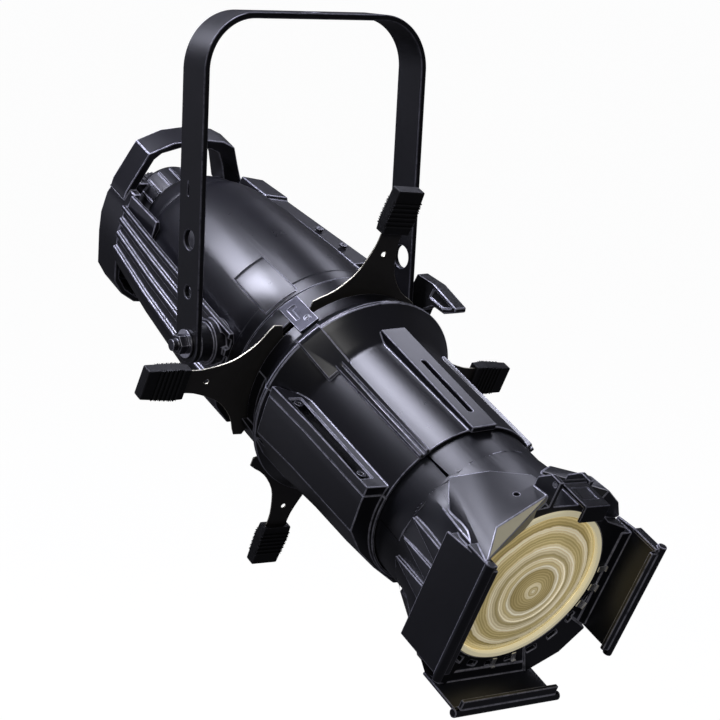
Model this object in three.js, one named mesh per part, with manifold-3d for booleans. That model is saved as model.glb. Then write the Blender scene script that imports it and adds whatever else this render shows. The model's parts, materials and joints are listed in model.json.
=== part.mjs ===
// Profile spotlight on a yoke: tilting lamp housing, turning shutter barrel, sliding lens tube.
// Millimetres, +Z up, the lens looks towards -Y, the origin is the clamp-bolt hole on top of the yoke.
import * as THREE from 'three';
import { ConvexGeometry } from 'three/addons/geometries/ConvexGeometry.js';
import { mergeVertices } from 'three/addons/utils/BufferGeometryUtils.js';
import Module from 'manifold-3d';

const wasm = await Module();
wasm.setup();

// ---------------------------------------------------------------- driving dimensions
const GAP = 0.3;                 // clearance between neighbouring pieces
const YOKE_WIDTH = 218;          // outside to outside of the legs
const YOKE_DROP = 266;           // top of the yoke down to the tilt axis
const STRAP_WIDTH = 33;
const STRAP_THICK = 5;
const YOKE_CORNER = 46;          // outside radius of the two bends
const CLAMP_HOLE = 13;           // hanging-bolt hole diameter
const PIVOT_HOLE = 11;           // tilt-bolt hole diameter in each leg
const TILT_DEG = 21.2;           // nose-down angle of the lantern at rest
const AXIS_DROP = 5;             // optical axis below the tilt axis
const BARREL_ROLL_DEG = 6;       // turn of the barrel at rest

const SHELL_REAR = -166;         // distances along the optical axis, forward of the tilt axis
const SHELL_FRONT = 37;
const LEDGE_FRONT = -12;
const FIN_FRONT = 22;
const CAGE_REAR = -232;
const CAGE_FRONT = -196;
const CAGE_DROP = 8;

const SHUTTER_PLANE = 63;
const DRUM_RADIUS = 84.5;
const DRUM_REAR = 41;
const DRUM_FRONT = 94;
const DRUM_RIM_RADIUS = 92.5;
const RAIL_START = 120;
const BARREL_END = 237;
const BARREL_RADIUS = 73.5;
const BARREL_BORE = 71;
const FLANGE_HEIGHT = 20;        // top of the side flanges above the optical axis

const TUBE_RADIUS = 70.3;
const TUBE_BORE = 67.5;
const TUBE_REAR = 165;
const FLARE_START = 264;
const WING_FRONT = 367;
const HOLDER_HALF = 87;          // outside of the side wings; a 159 mm colour frame fits between them

const ROUND = 28;                // facets round the large castings

const deg = Math.PI / 180;

// ---------------------------------------------------------------- materials
function paint(color, roughness, metalness) {
  return () => new THREE.MeshStandardMaterial({ color, roughness, metalness, flatShading: true });
}
const satinBlack = paint(0x17171b, 0.42, 0.35);
const castBlack = paint(0x1b1b20, 0.48, 0.35);
const gripBlack = paint(0x0d0d0f, 0.6, 0.0);
const bladeGrey = paint(0x3a3833, 0.4, 0.8);
const plainSteel = paint(0x8d8f94, 0.3, 0.9);
const darkSteel = paint(0x2b2c30, 0.4, 0.8);
const mirrorCoat = paint(0xd9d2bd, 0.12, 0.9);
const lensGlass = paint(0xc9b67a, 0.15, 0.1);
const lampGlass = paint(0xe8e8e4, 0.08, 0.0);
const ceramic = paint(0xe4dfd2, 0.6, 0.0);
const badgeGrey = paint(0x6c6d78, 0.35, 0.5);

// ---------------------------------------------------------------- solids
// Closed solid from a closed geometry; the winding is turned round if it came out inside-out.
function solid(geometry) {
  const bare = geometry.clone();
  bare.deleteAttribute('normal');
  bare.deleteAttribute('uv');
  const merged = mergeVertices(bare, 1e-4);
  const p = merged.attributes.position.array;
  const index = merged.index.array;
  const tris = [];
  let volume = 0;
  for (let i = 0; i < index.length; i += 3) {
    const [a, b, c] = [index[i], index[i + 1], index[i + 2]];
    if (a === b || b === c || c === a) continue;
    tris.push(a, b, c);
    const [ax, ay, az] = [p[3 * a], p[3 * a + 1], p[3 * a + 2]];
    const [bx, by, bz] = [p[3 * b], p[3 * b + 1], p[3 * b + 2]];
    const [cx, cy, cz] = [p[3 * c], p[3 * c + 1], p[3 * c + 2]];
    volume += ax * (by * cz - bz * cy) + ay * (bz * cx - bx * cz) + az * (bx * cy - by * cx);
  }
  if (volume < 0) {
    for (let i = 0; i < tris.length; i += 3) {
      const swap = tris[i];
      tris[i] = tris[i + 1];
      tris[i + 1] = swap;
    }
  }
  return new wasm.Manifold(new wasm.Mesh({
    numProp: 3,
    vertProperties: new Float32Array(p),
    triVerts: new Uint32Array(tris),
  }));
}

function join(parts) {
  return parts.reduce((whole, part) => whole.add(part));
}

function cut(body, tools) {
  return tools.reduce((left, tool) => left.subtract(tool), body);
}

function box(x0, x1, l0, l1, z0, z1) {
  const g = new THREE.BoxGeometry(x1 - x0, Math.abs(l1 - l0), z1 - z0);
  g.translate((x0 + x1) / 2, -(l0 + l1) / 2, (z0 + z1) / 2);
  return solid(g);
}

// Round bar between two points on one axis: 'x', 'l' (along the optical axis) or 'z'.
function bar(axis, radius, from, to, a, b, segments = 20, radiusTo = radius) {
  const g = new THREE.CylinderGeometry(radiusTo, radius, Math.abs(to - from), segments);
  const mid = (from + to) / 2;
  if (axis === 'x') {
    g.rotateZ(-Math.PI / 2);
    g.translate(mid, -a, b);
  } else if (axis === 'z') {
    g.rotateX(Math.PI / 2);
    g.translate(a, -b, mid);
  } else {
    g.rotateX(Math.PI);
    g.translate(a, -mid, b);
  }
  return solid(g);
}

// Body of revolution about the optical axis; profile points are [radius, distance forward].
function turned(profile, segments = 28) {
  const onAxis = profile[0][0] === 0;
  const points = profile.map(([r, l]) => new THREE.Vector2(r, -l));
  if (!onAxis) points.push(points[0].clone());
  return solid(new THREE.LatheGeometry(points, segments));
}

// Skin through equal-sized outlines, each {l, points: [[x, z], ...]}, closed by flat ends.
function lofted(sections) {
  const count = sections[0].points.length;
  const flat = sections[0].points.map(([x, z]) => new THREE.Vector2(x, z));
  const clockwise = THREE.ShapeUtils.isClockWise(flat);
  const rows = sections.map((s) => (clockwise ? [...s.points].reverse() : s.points));
  const vertices = [];
  rows.forEach((row, i) => row.forEach(([x, z]) => vertices.push(x, -sections[i].l, z)));
  const index = [];
  for (let s = 0; s + 1 < sections.length; s += 1) {
    for (let i = 0; i < count; i += 1) {
      const j = (i + 1) % count;
      const [a, b, c, d] = [s * count + i, s * count + j, (s + 1) * count + j, (s + 1) * count + i];
      index.push(a, b, c, a, c, d);
    }
  }
  const ends = [0, sections.length - 1];
  ends.forEach((s) => {
    const contour = rows[s].map(([x, z]) => new THREE.Vector2(x, z));
    THREE.ShapeUtils.triangulateShape(contour, []).forEach(([a, b, c]) => {
      const base = s * count;
      if (s === 0) index.push(base + a, base + c, base + b);
      else index.push(base + a, base + b, base + c);
    });
  });
  const g = new THREE.BufferGeometry();
  g.setAttribute('position', new THREE.BufferAttribute(new Float32Array(vertices), 3));
  g.setIndex(index);
  return solid(g);
}

function prism(points, l0, l1) {
  return lofted([{ l: l0, points }, { l: l1, points }]);
}

// Sheet or block drawn in side view, [distance forward, z], and stretched across x.
function sideways(points, x0, x1) {
  const slab = prism(points, x0, x1);
  return slab.transform([0, -1, 0, 0, -1, 0, 0, 0, 0, 0, 1, 0, 0, 0, 0, 1]);
}

function moved(body, x, l, z) {
  return body.translate([x, -l, z]);
}

// Block drawn from above, [x, distance forward], and stretched between two heights.
function plan(points, z0, z1) {
  const slab = prism(points, z0, z1);
  return slab.transform([1, 0, 0, 0, 0, 0, -1, 0, 0, -1, 0, 0, 0, 0, 0, 1]);
}

function rolled(body, degrees) {
  return body.rotate([0, -degrees, 0]);
}

function arc(cx, cz, radius, from, to, steps) {
  const points = [];
  for (let i = 0; i <= steps; i += 1) {
    const t = (from + ((to - from) * i) / steps) * deg;
    points.push([cx + radius * Math.cos(t), cz + radius * Math.sin(t)]);
  }
  return points;
}

function mirrored(points) {
  return points.map(([x, z]) => [-x, z]);
}

function piece(name, body, material, parent) {
  const m = body.getMesh();
  const g = new THREE.BufferGeometry();
  g.setAttribute('position', new THREE.BufferAttribute(new Float32Array(m.vertProperties), 3));
  g.setIndex(new THREE.BufferAttribute(new Uint32Array(m.triVerts), 1));
  g.computeVertexNormals();
  const mesh = new THREE.Mesh(g, material());
  mesh.name = name;
  parent.add(mesh);
  return mesh;
}

function group(name, parent) {
  const g = new THREE.Group();
  g.name = name;
  parent.add(g);
  return g;
}

// ---------------------------------------------------------------- groups
const root = new THREE.Group();
root.name = 'profile_spotlight';
const yoke = group('yoke', root);
const lantern = group('lantern', root);
lantern.position.set(0, 0, -YOKE_DROP);
lantern.rotation.x = TILT_DEG * deg;
const housing = group('housing', lantern);
housing.position.z = -AXIS_DROP;
const barrel = group('barrel', housing);
barrel.rotation.y = BARREL_ROLL_DEG * deg;

// ---------------------------------------------------------------- yoke
function buildYoke() {
  const half = YOKE_WIDTH / 2;
  const foot = -YOKE_DROP - STRAP_WIDTH / 2;
  const bend = half - YOKE_CORNER;
  const inner = YOKE_CORNER - STRAP_THICK;
  const outline = [
    [-half, foot],
    ...arc(-bend, -YOKE_CORNER, YOKE_CORNER, 180, 90, 6),
    ...arc(bend, -YOKE_CORNER, YOKE_CORNER, 90, 0, 6),
    [half, foot],
    [half - STRAP_THICK, foot],
    ...arc(bend, -YOKE_CORNER, inner, 0, 90, 6),
    ...arc(-bend, -YOKE_CORNER, inner, 90, 180, 6),
    [-half + STRAP_THICK, foot],
  ];
  const r = STRAP_WIDTH / 2;
  const side = [[-r, 1], [r, 1], ...arc(0, -YOKE_DROP, r, 0, -180, 10)];
  let strap = prism(outline, -r, r).intersect(sideways(side, -half - 1, half + 1));
  const leg = half - STRAP_THICK - 1;
  const through = (sign, radius, up, l = 0) => bar('x', radius, sign * leg, sign * (half + 1), l, up - YOKE_DROP);
  strap = cut(strap, [
    through(-1, PIVOT_HOLE / 2, 0),
    through(1, PIVOT_HOLE / 2, 0),
    through(-1, 5.2, 42.5),
    through(-1, 8, 85),
    through(1, 10, 58.7, 2),
    box(-half - 1, -leg, -4.4, -2.2, -YOKE_DROP + 120, -YOKE_DROP + 129),
    bar('z', CLAMP_HOLE / 2, -STRAP_THICK - 1, 1, 0, 0, 24),
  ]);
  piece('yoke_strap', strap, satinBlack, yoke);

  const nutRadius = 8.6;
  const leftWasher = cut(bar('x', 12, -half - 2, -half - GAP, 0, 0, 24), [bar('x', 5.3, -half - 3, -half, 0, 0, 16)]);
  piece('pivot_washer_left', moved(leftWasher, 0, 0, -YOKE_DROP), plainSteel, yoke);
  const bolt = join([
    bar('x', nutRadius, -half - 9, -half - 2 - GAP, 0, 0, 6),
    bar('x', 4.9, -half - 14, -92, 0, 0, 16),
  ]);
  piece('pivot_bolt_left', moved(bolt, 0, 0, -YOKE_DROP), darkSteel, yoke);
  const rightWasher = cut(bar('x', 13, half + GAP, half + 2, 0, 0, 24), [bar('x', 5.3, half, half + 3, 0, 0, 16)]);
  piece('friction_washer_right', moved(rightWasher, 0, 0, -YOKE_DROP), darkSteel, yoke);
  piece('pivot_stud_right', moved(bar('x', 4.9, 92, half + 14, 0, 0, 16), 0, 0, -YOKE_DROP), plainSteel, yoke);

  const knobStart = half + 2 + GAP;
  const lever = sideways([
    [-12, -6], [-4, -12], [6, -11], [12, -2], [15, 22], [25, 31], [41, 33], [54, 42], [53, 46], [42, 47],
    [20, 49], [-6, 45], [-8, 34], [-12, 8],
  ], knobStart + 5, knobStart + 17);
  const knob = cut(join([bar('x', 12.5, knobStart, knobStart + 12, 0, 0, 20), lever.rotate([TILT_DEG, 0, 0])]), [
    bar('x', 5.2, knobStart - 1, half + 14 + GAP, 0, 0, 16),
  ]);
  piece('tilt_lock_knob', moved(knob, 0, 0, -YOKE_DROP), gripBlack, yoke);
}

// ---------------------------------------------------------------- lamp housing
const SHELL_OUTLINE = [
  [58.5, SHELL_REAR], [60.5, -163], [64.5, -150], [68.5, -125], [72.3, -90], [75.7, -50], [78.3, -10],
  [79.6, 22], [81.3, 26], [81.3, SHELL_FRONT],
];

function housingCore(clearance) {
  const skin = SHELL_OUTLINE.map(([r, l]) => [r + clearance, l]);
  return turned([[0, SHELL_REAR], ...skin, [0, SHELL_FRONT]], ROUND);
}

function buildShell() {
  const inner = [
    [62.9, SHELL_FRONT], [62.9, SHELL_FRONT - 3], [76.3, SHELL_FRONT - 3], [76.3, 20], [75.2, -10], [72.6, -50],
    [69.2, -90], [65.4, -125], [61.4, -150], [55.5, -160], [54, SHELL_REAR],
  ];
  let shell = turned([...SHELL_OUTLINE, ...inner], ROUND);
  const spike = lofted([
    { l: -24, points: [[-0.4, 74], [0.4, 74], [0.4, 78.4], [-0.4, 78.4]] },
    { l: 32, points: [[-3, 77], [3, 77], [3, 82.4], [-3, 82.4]] },
  ]);
  const band = turned([[78, -22], [80.8, -18], [82.4, 20], [82.4, SHELL_FRONT - 3], [78, SHELL_FRONT - 3]], ROUND);
  const pad = band.intersect(prism([[-30, 52], [-52.5, 91], [-82.7, 64.6], [-47.3, 36.9]], -30, SHELL_FRONT));
  shell = join([shell, rolled(spike, 30), rolled(spike, -30), pad]);
  piece('reflector_housing', shell, castBlack, housing);
}

function sideCasting(sign) {
  const flip = (points) => (sign > 0 ? points : mirrored(points));
  const ledge = lofted([
    { l: -186, points: [[30, 10], [39, 51], [63, 46], [63, 6]] },
    { l: -146, points: [[30, 10], [40, 54], [65, 50], [65, 6]] },
    { l: -144, points: [[30, 10], [40, 51], [65, 47], [65, 6]] },
    { l: LEDGE_FRONT, points: [[30, 10], [41, 61], [68, 62], [68, 6]] },
  ]);
  const shelf = (l, tall) => ({ l, points: flip([[46, 6], [46, 17], [60, 19], [62.5, tall], [66, tall], [68, 6]]) });
  const upper = sign > 0 ? ledge : lofted([shelf(CAGE_FRONT + GAP, 30), shelf(-147, 31)]);
  const fins = (wide, tall) => flip([
    [50, 13], [76.5, 15], [79.5, 25], [84, 25], [84, 20], [80.5, 19], [80.5, 11], [84, 10], [84, 4], [80.5, 3], [80.5, -6], [84, -7],
    [84, -13], [80.5, -14], [80.5, -24], [84, -25], [84, -31], [78, -45], [63, -62], [40, -62],
  ].map(([x, z]) => [x * wide, z * tall]));
  const block = lofted([
    { l: CAGE_FRONT + GAP, points: fins(0.87, 0.82) },
    { l: -120, points: fins(0.95, 0.95) },
    { l: -20, points: fins(1.02, 1.06) },
    { l: FIN_FRONT, points: fins(1.02, 1.04) },
  ]);
  const boss = bar('x', 16, sign * 76, sign * 103.6, 0, AXIS_DROP, 24);
  const hollow = turned([[0, CAGE_FRONT - 5], [56.5, CAGE_FRONT - 5], [58.8, SHELL_REAR + 2], [0, SHELL_REAR + 2]]);
  const bore = bar('x', 5.3, sign * 88, sign * 105, 0, AXIS_DROP, 16);
  return cut(join([upper, block, boss]), [housingCore(GAP), hollow, bore]);
}

function buildHousingTrim() {
  piece('side_casting_left', sideCasting(-1), castBlack, housing);
  piece('side_casting_right', sideCasting(1), castBlack, housing);
  [[-76, 49.8, 55.2], [-42, 52.6, 58.2]].forEach(([l, x, z], i) => {
    const head = bar('z', 3.4, z + 2.2, z + 4.2, x + 4, l, 12);
    piece(`ledge_screw_${i + 1}`, head, darkSteel, housing);
  });
}

function buildRear() {
  const half = [[0, -88], [-38, -84], [-53, -74], [-63, -60], [-66, -42], [-69, -26], [-71, -6], [-69, 14], [-62, 30]];
  const rim = (k, l0, l1) => {
    const left = half.map(([x, z]) => [x * k, (z + CAGE_DROP) * k - CAGE_DROP]);
    return prism([...left, ...mirrored(left.slice(1)).reverse()], l0, l1);
  };
  const ring = cut(rim(1, CAGE_REAR, CAGE_FRONT), [
    rim(0.935, CAGE_REAR - 1, CAGE_FRONT + 1),
    box(-55, 55, CAGE_REAR - 2, CAGE_FRONT + 2, 0, 90),
  ]);
  const outer = [[-67, 20], [-66, 29], [-51, 66], [-28, 76], [0, 79], [24, 76], [37, 70], [45, 52], [55, 31], [66, 20]];
  const inner = [[52, 10], [37, 28], [28, 52], [21, 65], [12, 69], [-20, 71], [-38, 66], [-44.5, 60], [-58, 26]];
  const arch = prism([...outer, ...inner], CAGE_REAR, CAGE_REAR + 27);
  const back = cut(rim(0.97, CAGE_REAR, CAGE_REAR + 3), [
    box(-90, 90, CAGE_REAR - 2, CAGE_REAR + 5, 22, 90),
    bar('l', 36, CAGE_REAR - 2, CAGE_REAR + 5, 0, 0, 24),
  ]);
  piece('rear_cage', join([ring, arch, back]), castBlack, housing);

  const dome = turned([
    [57.5, SHELL_REAR - GAP], [56, -175], [51, -189.5], [43, -201], [34.5, -207.5],
    [31.5, -205.5], [40.5, -198], [48, -187.5], [52.8, -174.5], [54.3, SHELL_REAR - GAP],
  ], 24);
  piece('rear_dome', dome, castBlack, housing);

  const reflector = turned([
    [22, -157], [38, -149], [52, -131], [63.5, -80], [67.5, -30], [65.5, -30], [61.5, -80], [50.2, -129.5],
    [36.7, -147], [21, -154.8],
  ], 24);
  piece('reflector', reflector, mirrorCoat, housing);
  piece('gate_plate', turned([[40, 30.4], [75.8, 30.4], [75.8, 33.6], [40, 33.6]], 24), darkSteel, housing);
}

// ---------------------------------------------------------------- lamp assembly
function buildLamp() {
  const lamp = group('lamp_assembly', housing);
  const cap = turned([
    [0, -246], [27, -246], [33.5, -239], [33.5, -208.4], [31.2, -208.4], [31.2, -238], [11, -240],
    [11, -207], [0, -207],
  ], 20);
  const gland = bar('l', 8.2, -255, -245, 15, -13, 14);
  piece('lamp_cap', cut(cap, [bar('l', 8.6, -247, -243, 15, -13, 14)]), castBlack, lamp);
  piece('cord_gland', cut(gland, [bar('l', 4.5, -257, -249, 15, -13, 12)]), gripBlack, lamp);
  const knob = bar('l', 9.5, -257, -246.3, -12, 9, 12);
  piece('lamp_knob', knob, gripBlack, lamp);
  piece('lamp_socket', bar('l', 15, -206.7, -180, 0, 0, 16), ceramic, lamp);
  piece('lamp_base', box(-10, 10, -179.7, -168, -7, 7), ceramic, lamp);
  const bulb = turned([[0, -167.7], [9, -167.7], [9.5, -160], [9.5, -125], [7, -118], [3, -114], [0, -113]], 12);
  piece('lamp_bulb', bulb, lampGlass, lamp);
}

// ---------------------------------------------------------------- shutter barrel
const SEAM = 12;                 // height of the joint between the two barrel halves
const SLOT_REAR = SHUTTER_PLANE - 3;
const SLOT_FRONT = SHUTTER_PLANE + 3.6;
const SLOT_HALF = 54;
const FOCUS_TURN = 42;           // the focus knob is this far round from the underside, to the right
const RAIL_TURN = 6;             // the slotted rail sits this far round from the top

function rib(width, rows) {
  const half = width / 2;
  return lofted(rows.map(([l, low, high]) => ({ l, points: [[-half, low], [half, low], [half, high], [-half, high]] })));
}

function barrelBody() {
  const tube = turned([
    [62.4, 34.5], [62.4, DRUM_REAR], [DRUM_RADIUS, DRUM_REAR], [DRUM_RADIUS, 78.4], [88, 84], [DRUM_RIM_RADIUS, 90.5],
    [DRUM_RIM_RADIUS, DRUM_FRONT - 1], [91, DRUM_FRONT], [84, 105], [77.5, 114], [BARREL_RADIUS, 121],
    [BARREL_RADIUS, BARREL_END],
    [BARREL_BORE, BARREL_END], [BARREL_BORE, 117], [80, 96], [80, 45], [58, 45], [58, 34.5],
  ], ROUND);
  const wide = rib(23, [[RAIL_START, 72, 80.5], [240, 72, 77]]);
  const narrow = rib(9, [[RAIL_START - 4, 72, 78], [238, 72, 77]]);
  const groove = rib(2.6, [[RAIL_START - 6, 75.5, 90], [240, 74.8, 90]]);
  const saddle = rib(21, [[79, 76, 84], [84, 78, 89], [91, 80, 93.8], [96, 80, 93.2], [124, 72.2, 75.6]]);
  return join([
    tube,
    rolled(wide, RAIL_TURN),
    rolled(cut(narrow, [groove]), 46),
    rolled(cut(narrow, [groove]), -46),
    rolled(saddle, 49),
  ]);
}

const SKIRT = [
  [-92, 20], [-92, 4], [-90, -22], [-72, -45], [-50, -63], [-22, -82],
  [22, -82], [50, -63], [72, -45], [90, -22], [92, 4], [92, 20],
];

function skirtAt(l, wide, deep, inset) {
  const points = SKIRT.map(([x, z]) => {
    const k = 1 - inset / Math.hypot(x, z);
    return [x * wide * k, z > 10 ? z : z * deep * k];
  });
  return { l, points };
}

function skirt(inset, from, to) {
  const stations = [[46, 1.0, 1.04], [92, 1.04, 1.06], [150, 1.0, 1.0], [195, 0.99, 0.98], [233, 0.985, 0.93]];
  const first = stations[0];
  const last = stations[stations.length - 1];
  const rows = stations.map(([l, wide, deep]) => skirtAt(l, wide, deep, inset));
  rows[0] = skirtAt(from, first[1], first[2], inset);
  rows[rows.length - 1] = skirtAt(to, last[1], last[2], inset);
  return lofted(rows);
}

function buildBarrelHalves() {
  const bore = turned([[0, 40], [80, 45], [80, 96], [BARREL_BORE, 117], [BARREL_BORE, 250], [0, 250]], ROUND);
  const shoulder = [[-200, 0], [200, 0], [200, 101], [91, 101], [73, 114], [-73, 114], [-91, 101], [-200, 101]];
  const inside = cut(skirt(3.5, 50, 229), [
    box(-200, 200, 0, 300, FLANGE_HEIGHT - 5, 200),
    box(-200, 200, 0, 118, -37.5, 200),
  ]);
  const recess = [-1, 1].flatMap((sign) => [
    box(sign * 83.5 - 6, sign * 83.5 + 6, 118, 222, FLANGE_HEIGHT - 1.3, FLANGE_HEIGHT + 1),
    box(sign * 84 - 5, sign * 84 + 5, 119, 130, FLANGE_HEIGHT - 3.4, FLANGE_HEIGHT),
    box(sign * 84 - 5, sign * 84 + 5, 210, 221, FLANGE_HEIGHT - 3.4, FLANGE_HEIGHT),
  ]);
  const flanged = cut(skirt(0, 46, 233), [
    bore, inside, box(-200, 200, 0, 300, FLANGE_HEIGHT, 200), plan(shoulder, -34, 200), ...recess,
  ]);
  const core = barrelBody();
  const below = box(-200, 200, 0, 300, -200, SEAM - GAP / 2);
  const above = box(-200, 200, 0, 300, SEAM + GAP / 2, 200);
  const slots = [0, 90, 180, 270].map((turn) => rolled(box(-SLOT_HALF, SLOT_HALF, SLOT_REAR, SLOT_FRONT, 30, 130), turn));
  const focusSlot = rolled(box(-5.5, 5.5, 162, 228, -120, -60), FOCUS_TURN);
  const railSlot = rolled(box(-2.4, 2.4, 155, 222, 60, 90), RAIL_TURN);
  const whole = join([core, flanged]);
  const lower = cut(whole.subtract(above), [...slots, focusSlot, box(-200, 200, 0, 300, SEAM - GAP / 2, 200)]);
  const upper = cut(whole.subtract(below), [...slots, railSlot, box(-200, 200, 0, 300, -200, SEAM + GAP / 2)]);
  piece('barrel_top', upper, castBlack, barrel);
  piece('barrel_bottom', lower, castBlack, barrel);
  const badge = cut(box(-9, 9, 44, 78, 84.9, 86.8), [box(-1.5, 1.5, 52, 64, 86, 88), bar('z', 2.6, 86, 88, 3, 71, 12)]);
  piece('drum_plate', rolled(badge, 45), badgeGrey, barrel);
  const headBase = FLANGE_HEIGHT - 3.1;
  [[-84, 124.5], [-84, 215.5], [84, 124.5], [84, 215.5]].forEach(([x, l], i) => {
    const head = cut(bar('z', 3.6, headBase, headBase + 2.7, x, l, 12), [
      bar('z', 1.7, headBase + 1.1, headBase + 4, x, l, 6),
    ]);
    piece(`barrel_screw_${i + 1}`, head, darkSteel, barrel);
  });
}

// ---------------------------------------------------------------- framing shutters
const BLADE_HALF = 42;
const BLADE_EDGE = 42;           // inner edge of a blade that is pulled right out
const GRIP_FROM = 151;
const GRIP_TO = 190;
const SHUTTERS = [
  { name: 'top', turn: 0, plane: 0, pushed: 13 },
  { name: 'bottom', turn: 180, plane: 1, pushed: 0 },
  { name: 'left', turn: 90, plane: 2, pushed: 3 },
  { name: 'right', turn: -90, plane: 3, pushed: 3 },
];

function bladeOutline() {
  const half = [
    [BLADE_HALF, BLADE_EDGE], [BLADE_HALF, 74], [52, 78], [52, 86], [40, 92], [29, 100], [20, 110], [15, 124],
    [10.5, 140], [10.5, 184],
  ];
  const other = mirrored([...half].reverse());
  return [...half, ...other];
}

function buildShutters() {
  SHUTTERS.forEach(({ name, turn, plane, pushed }) => {
    const from = SHUTTER_PLANE - 2.5 + plane * 1.5;
    const blade = prism(bladeOutline(), from, from + 1.2);
    const mid = from + 0.6;
    const grip = cut(prism([[-13.5, GRIP_FROM], [13.5, GRIP_FROM], [14.5, 162], [13, GRIP_TO], [-13, GRIP_TO], [-14.5, 162]],
      mid - 5, mid + 5), [box(-10.8, 10.8, mid - 0.9, mid + 0.9, GRIP_FROM - 1, 184.3)]);
    piece(`shutter_blade_${name}`, rolled(moved(blade, 0, 0, -pushed), turn), bladeGrey, barrel);
    piece(`shutter_grip_${name}`, rolled(moved(grip, 0, 0, -pushed), turn), gripBlack, barrel);
  });
}

// ---------------------------------------------------------------- lens tube
const LATCH_HALF = 12;
const OCTAGON = [
  [-78, 46], [-78, 20], [-78, -20], [-78, -48], [-67, -66], [-48, -79], [-20, -79], [20, -79],
  [48, -79], [67, -66], [78, -48], [78, -20], [78, 20], [78, 46], [54, 54], [38, 66],
  [20, 72], [-20, 72], [-38, 66], [-54, 54],
];

function roundAt(l, radius) {
  return { l, points: OCTAGON.map(([x, z]) => [(x * radius) / Math.hypot(x, z), (z * radius) / Math.hypot(x, z)]) };
}

function octagonAt(l, inset) {
  return { l, points: OCTAGON.map(([x, z]) => [x - Math.sign(x) * inset, z - Math.sign(z) * inset]) };
}

// Corner gussets, outer points [x, distance forward, z]; each is hulled down to the tube.
const CORNERS = [
  [[-51.5, 266, 51.5], [-31, 281, 67], [-6, 298, 74.5], [-11, 325, 79.5], [-69, 340, 64], [-63, 289, 43.5], [-75, 312, 31],
    [-82, 343, 36], [-86, 359, 51]],
  [[51.5, 262, 51.5], [32, 279, 66.5], [8, 294, 74], [42, 310, 79], [45, 328, 79], [62, 328, 67], [70, 303, 50],
    [72, 303, 30], [84, 318, 46]],
  [[-51.5, 268, -51.5], [-42, 284, -61], [-30, 300, -69], [-40, 336, -86], [-68, 336, -70], [-63, 286, -42],
    [-70, 303, -30], [-84, 336, -48]],
  [[51.5, 268, -51.5], [42, 284, -61], [30, 300, -69], [40, 336, -86], [68, 336, -70], [63, 286, -42],
    [70, 303, -30], [84, 336, -48]],
];

function corner(points) {
  const outer = points.map(([x, l, z]) => new THREE.Vector3(x, -l, z));
  const inner = points.map(([x, l, z]) => {
    const k = 62 / Math.hypot(x, z);
    return new THREE.Vector3(x * k, -Math.min(l, 333), z * k);
  });
  return solid(new ConvexGeometry([...outer, ...inner]));
}

function wing(sign) {
  const between = (near, far, l0, l1, z0, z1) => box(Math.min(sign * near, sign * far), Math.max(sign * near, sign * far),
    l0, l1, z0, z1);
  const outline = [[316, -48], [316, 44], [340, 47], [WING_FRONT - 3, 50], [WING_FRONT - 3, -48]];
  return join([
    sideways(outline, Math.min(sign * (HOLDER_HALF - 2.5), sign * HOLDER_HALF),
      Math.max(sign * (HOLDER_HALF - 2.5), sign * HOLDER_HALF)),
    between(75, HOLDER_HALF, 316, 334, -46, 42),
    between(77, HOLDER_HALF, WING_FRONT - 6, WING_FRONT - 2.5, -46, 46),
    between(HOLDER_HALF - 8, HOLDER_HALF, 338, WING_FRONT - 3, 47, 50),
    bar('z', 3.6, -51, 52, sign * (HOLDER_HALF - 1), WING_FRONT - 4, 12),
  ]);
}

// Wedge that starts as a narrow rib on the tube and widens on to the flare.
function gusset([tip, mid]) {
  return lofted([
    { l: 268, points: [[-66, tip - 0.6], [-71.6, tip - 0.6], [-71.6, tip + 0.6], [-66, tip + 0.6]] },
    { l: 321, points: [[-74, mid - 7.3], [-81.4, mid - 7.3], [-81.4, mid + 7.3], [-74, mid + 7.3]] },
  ]);
}

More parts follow.
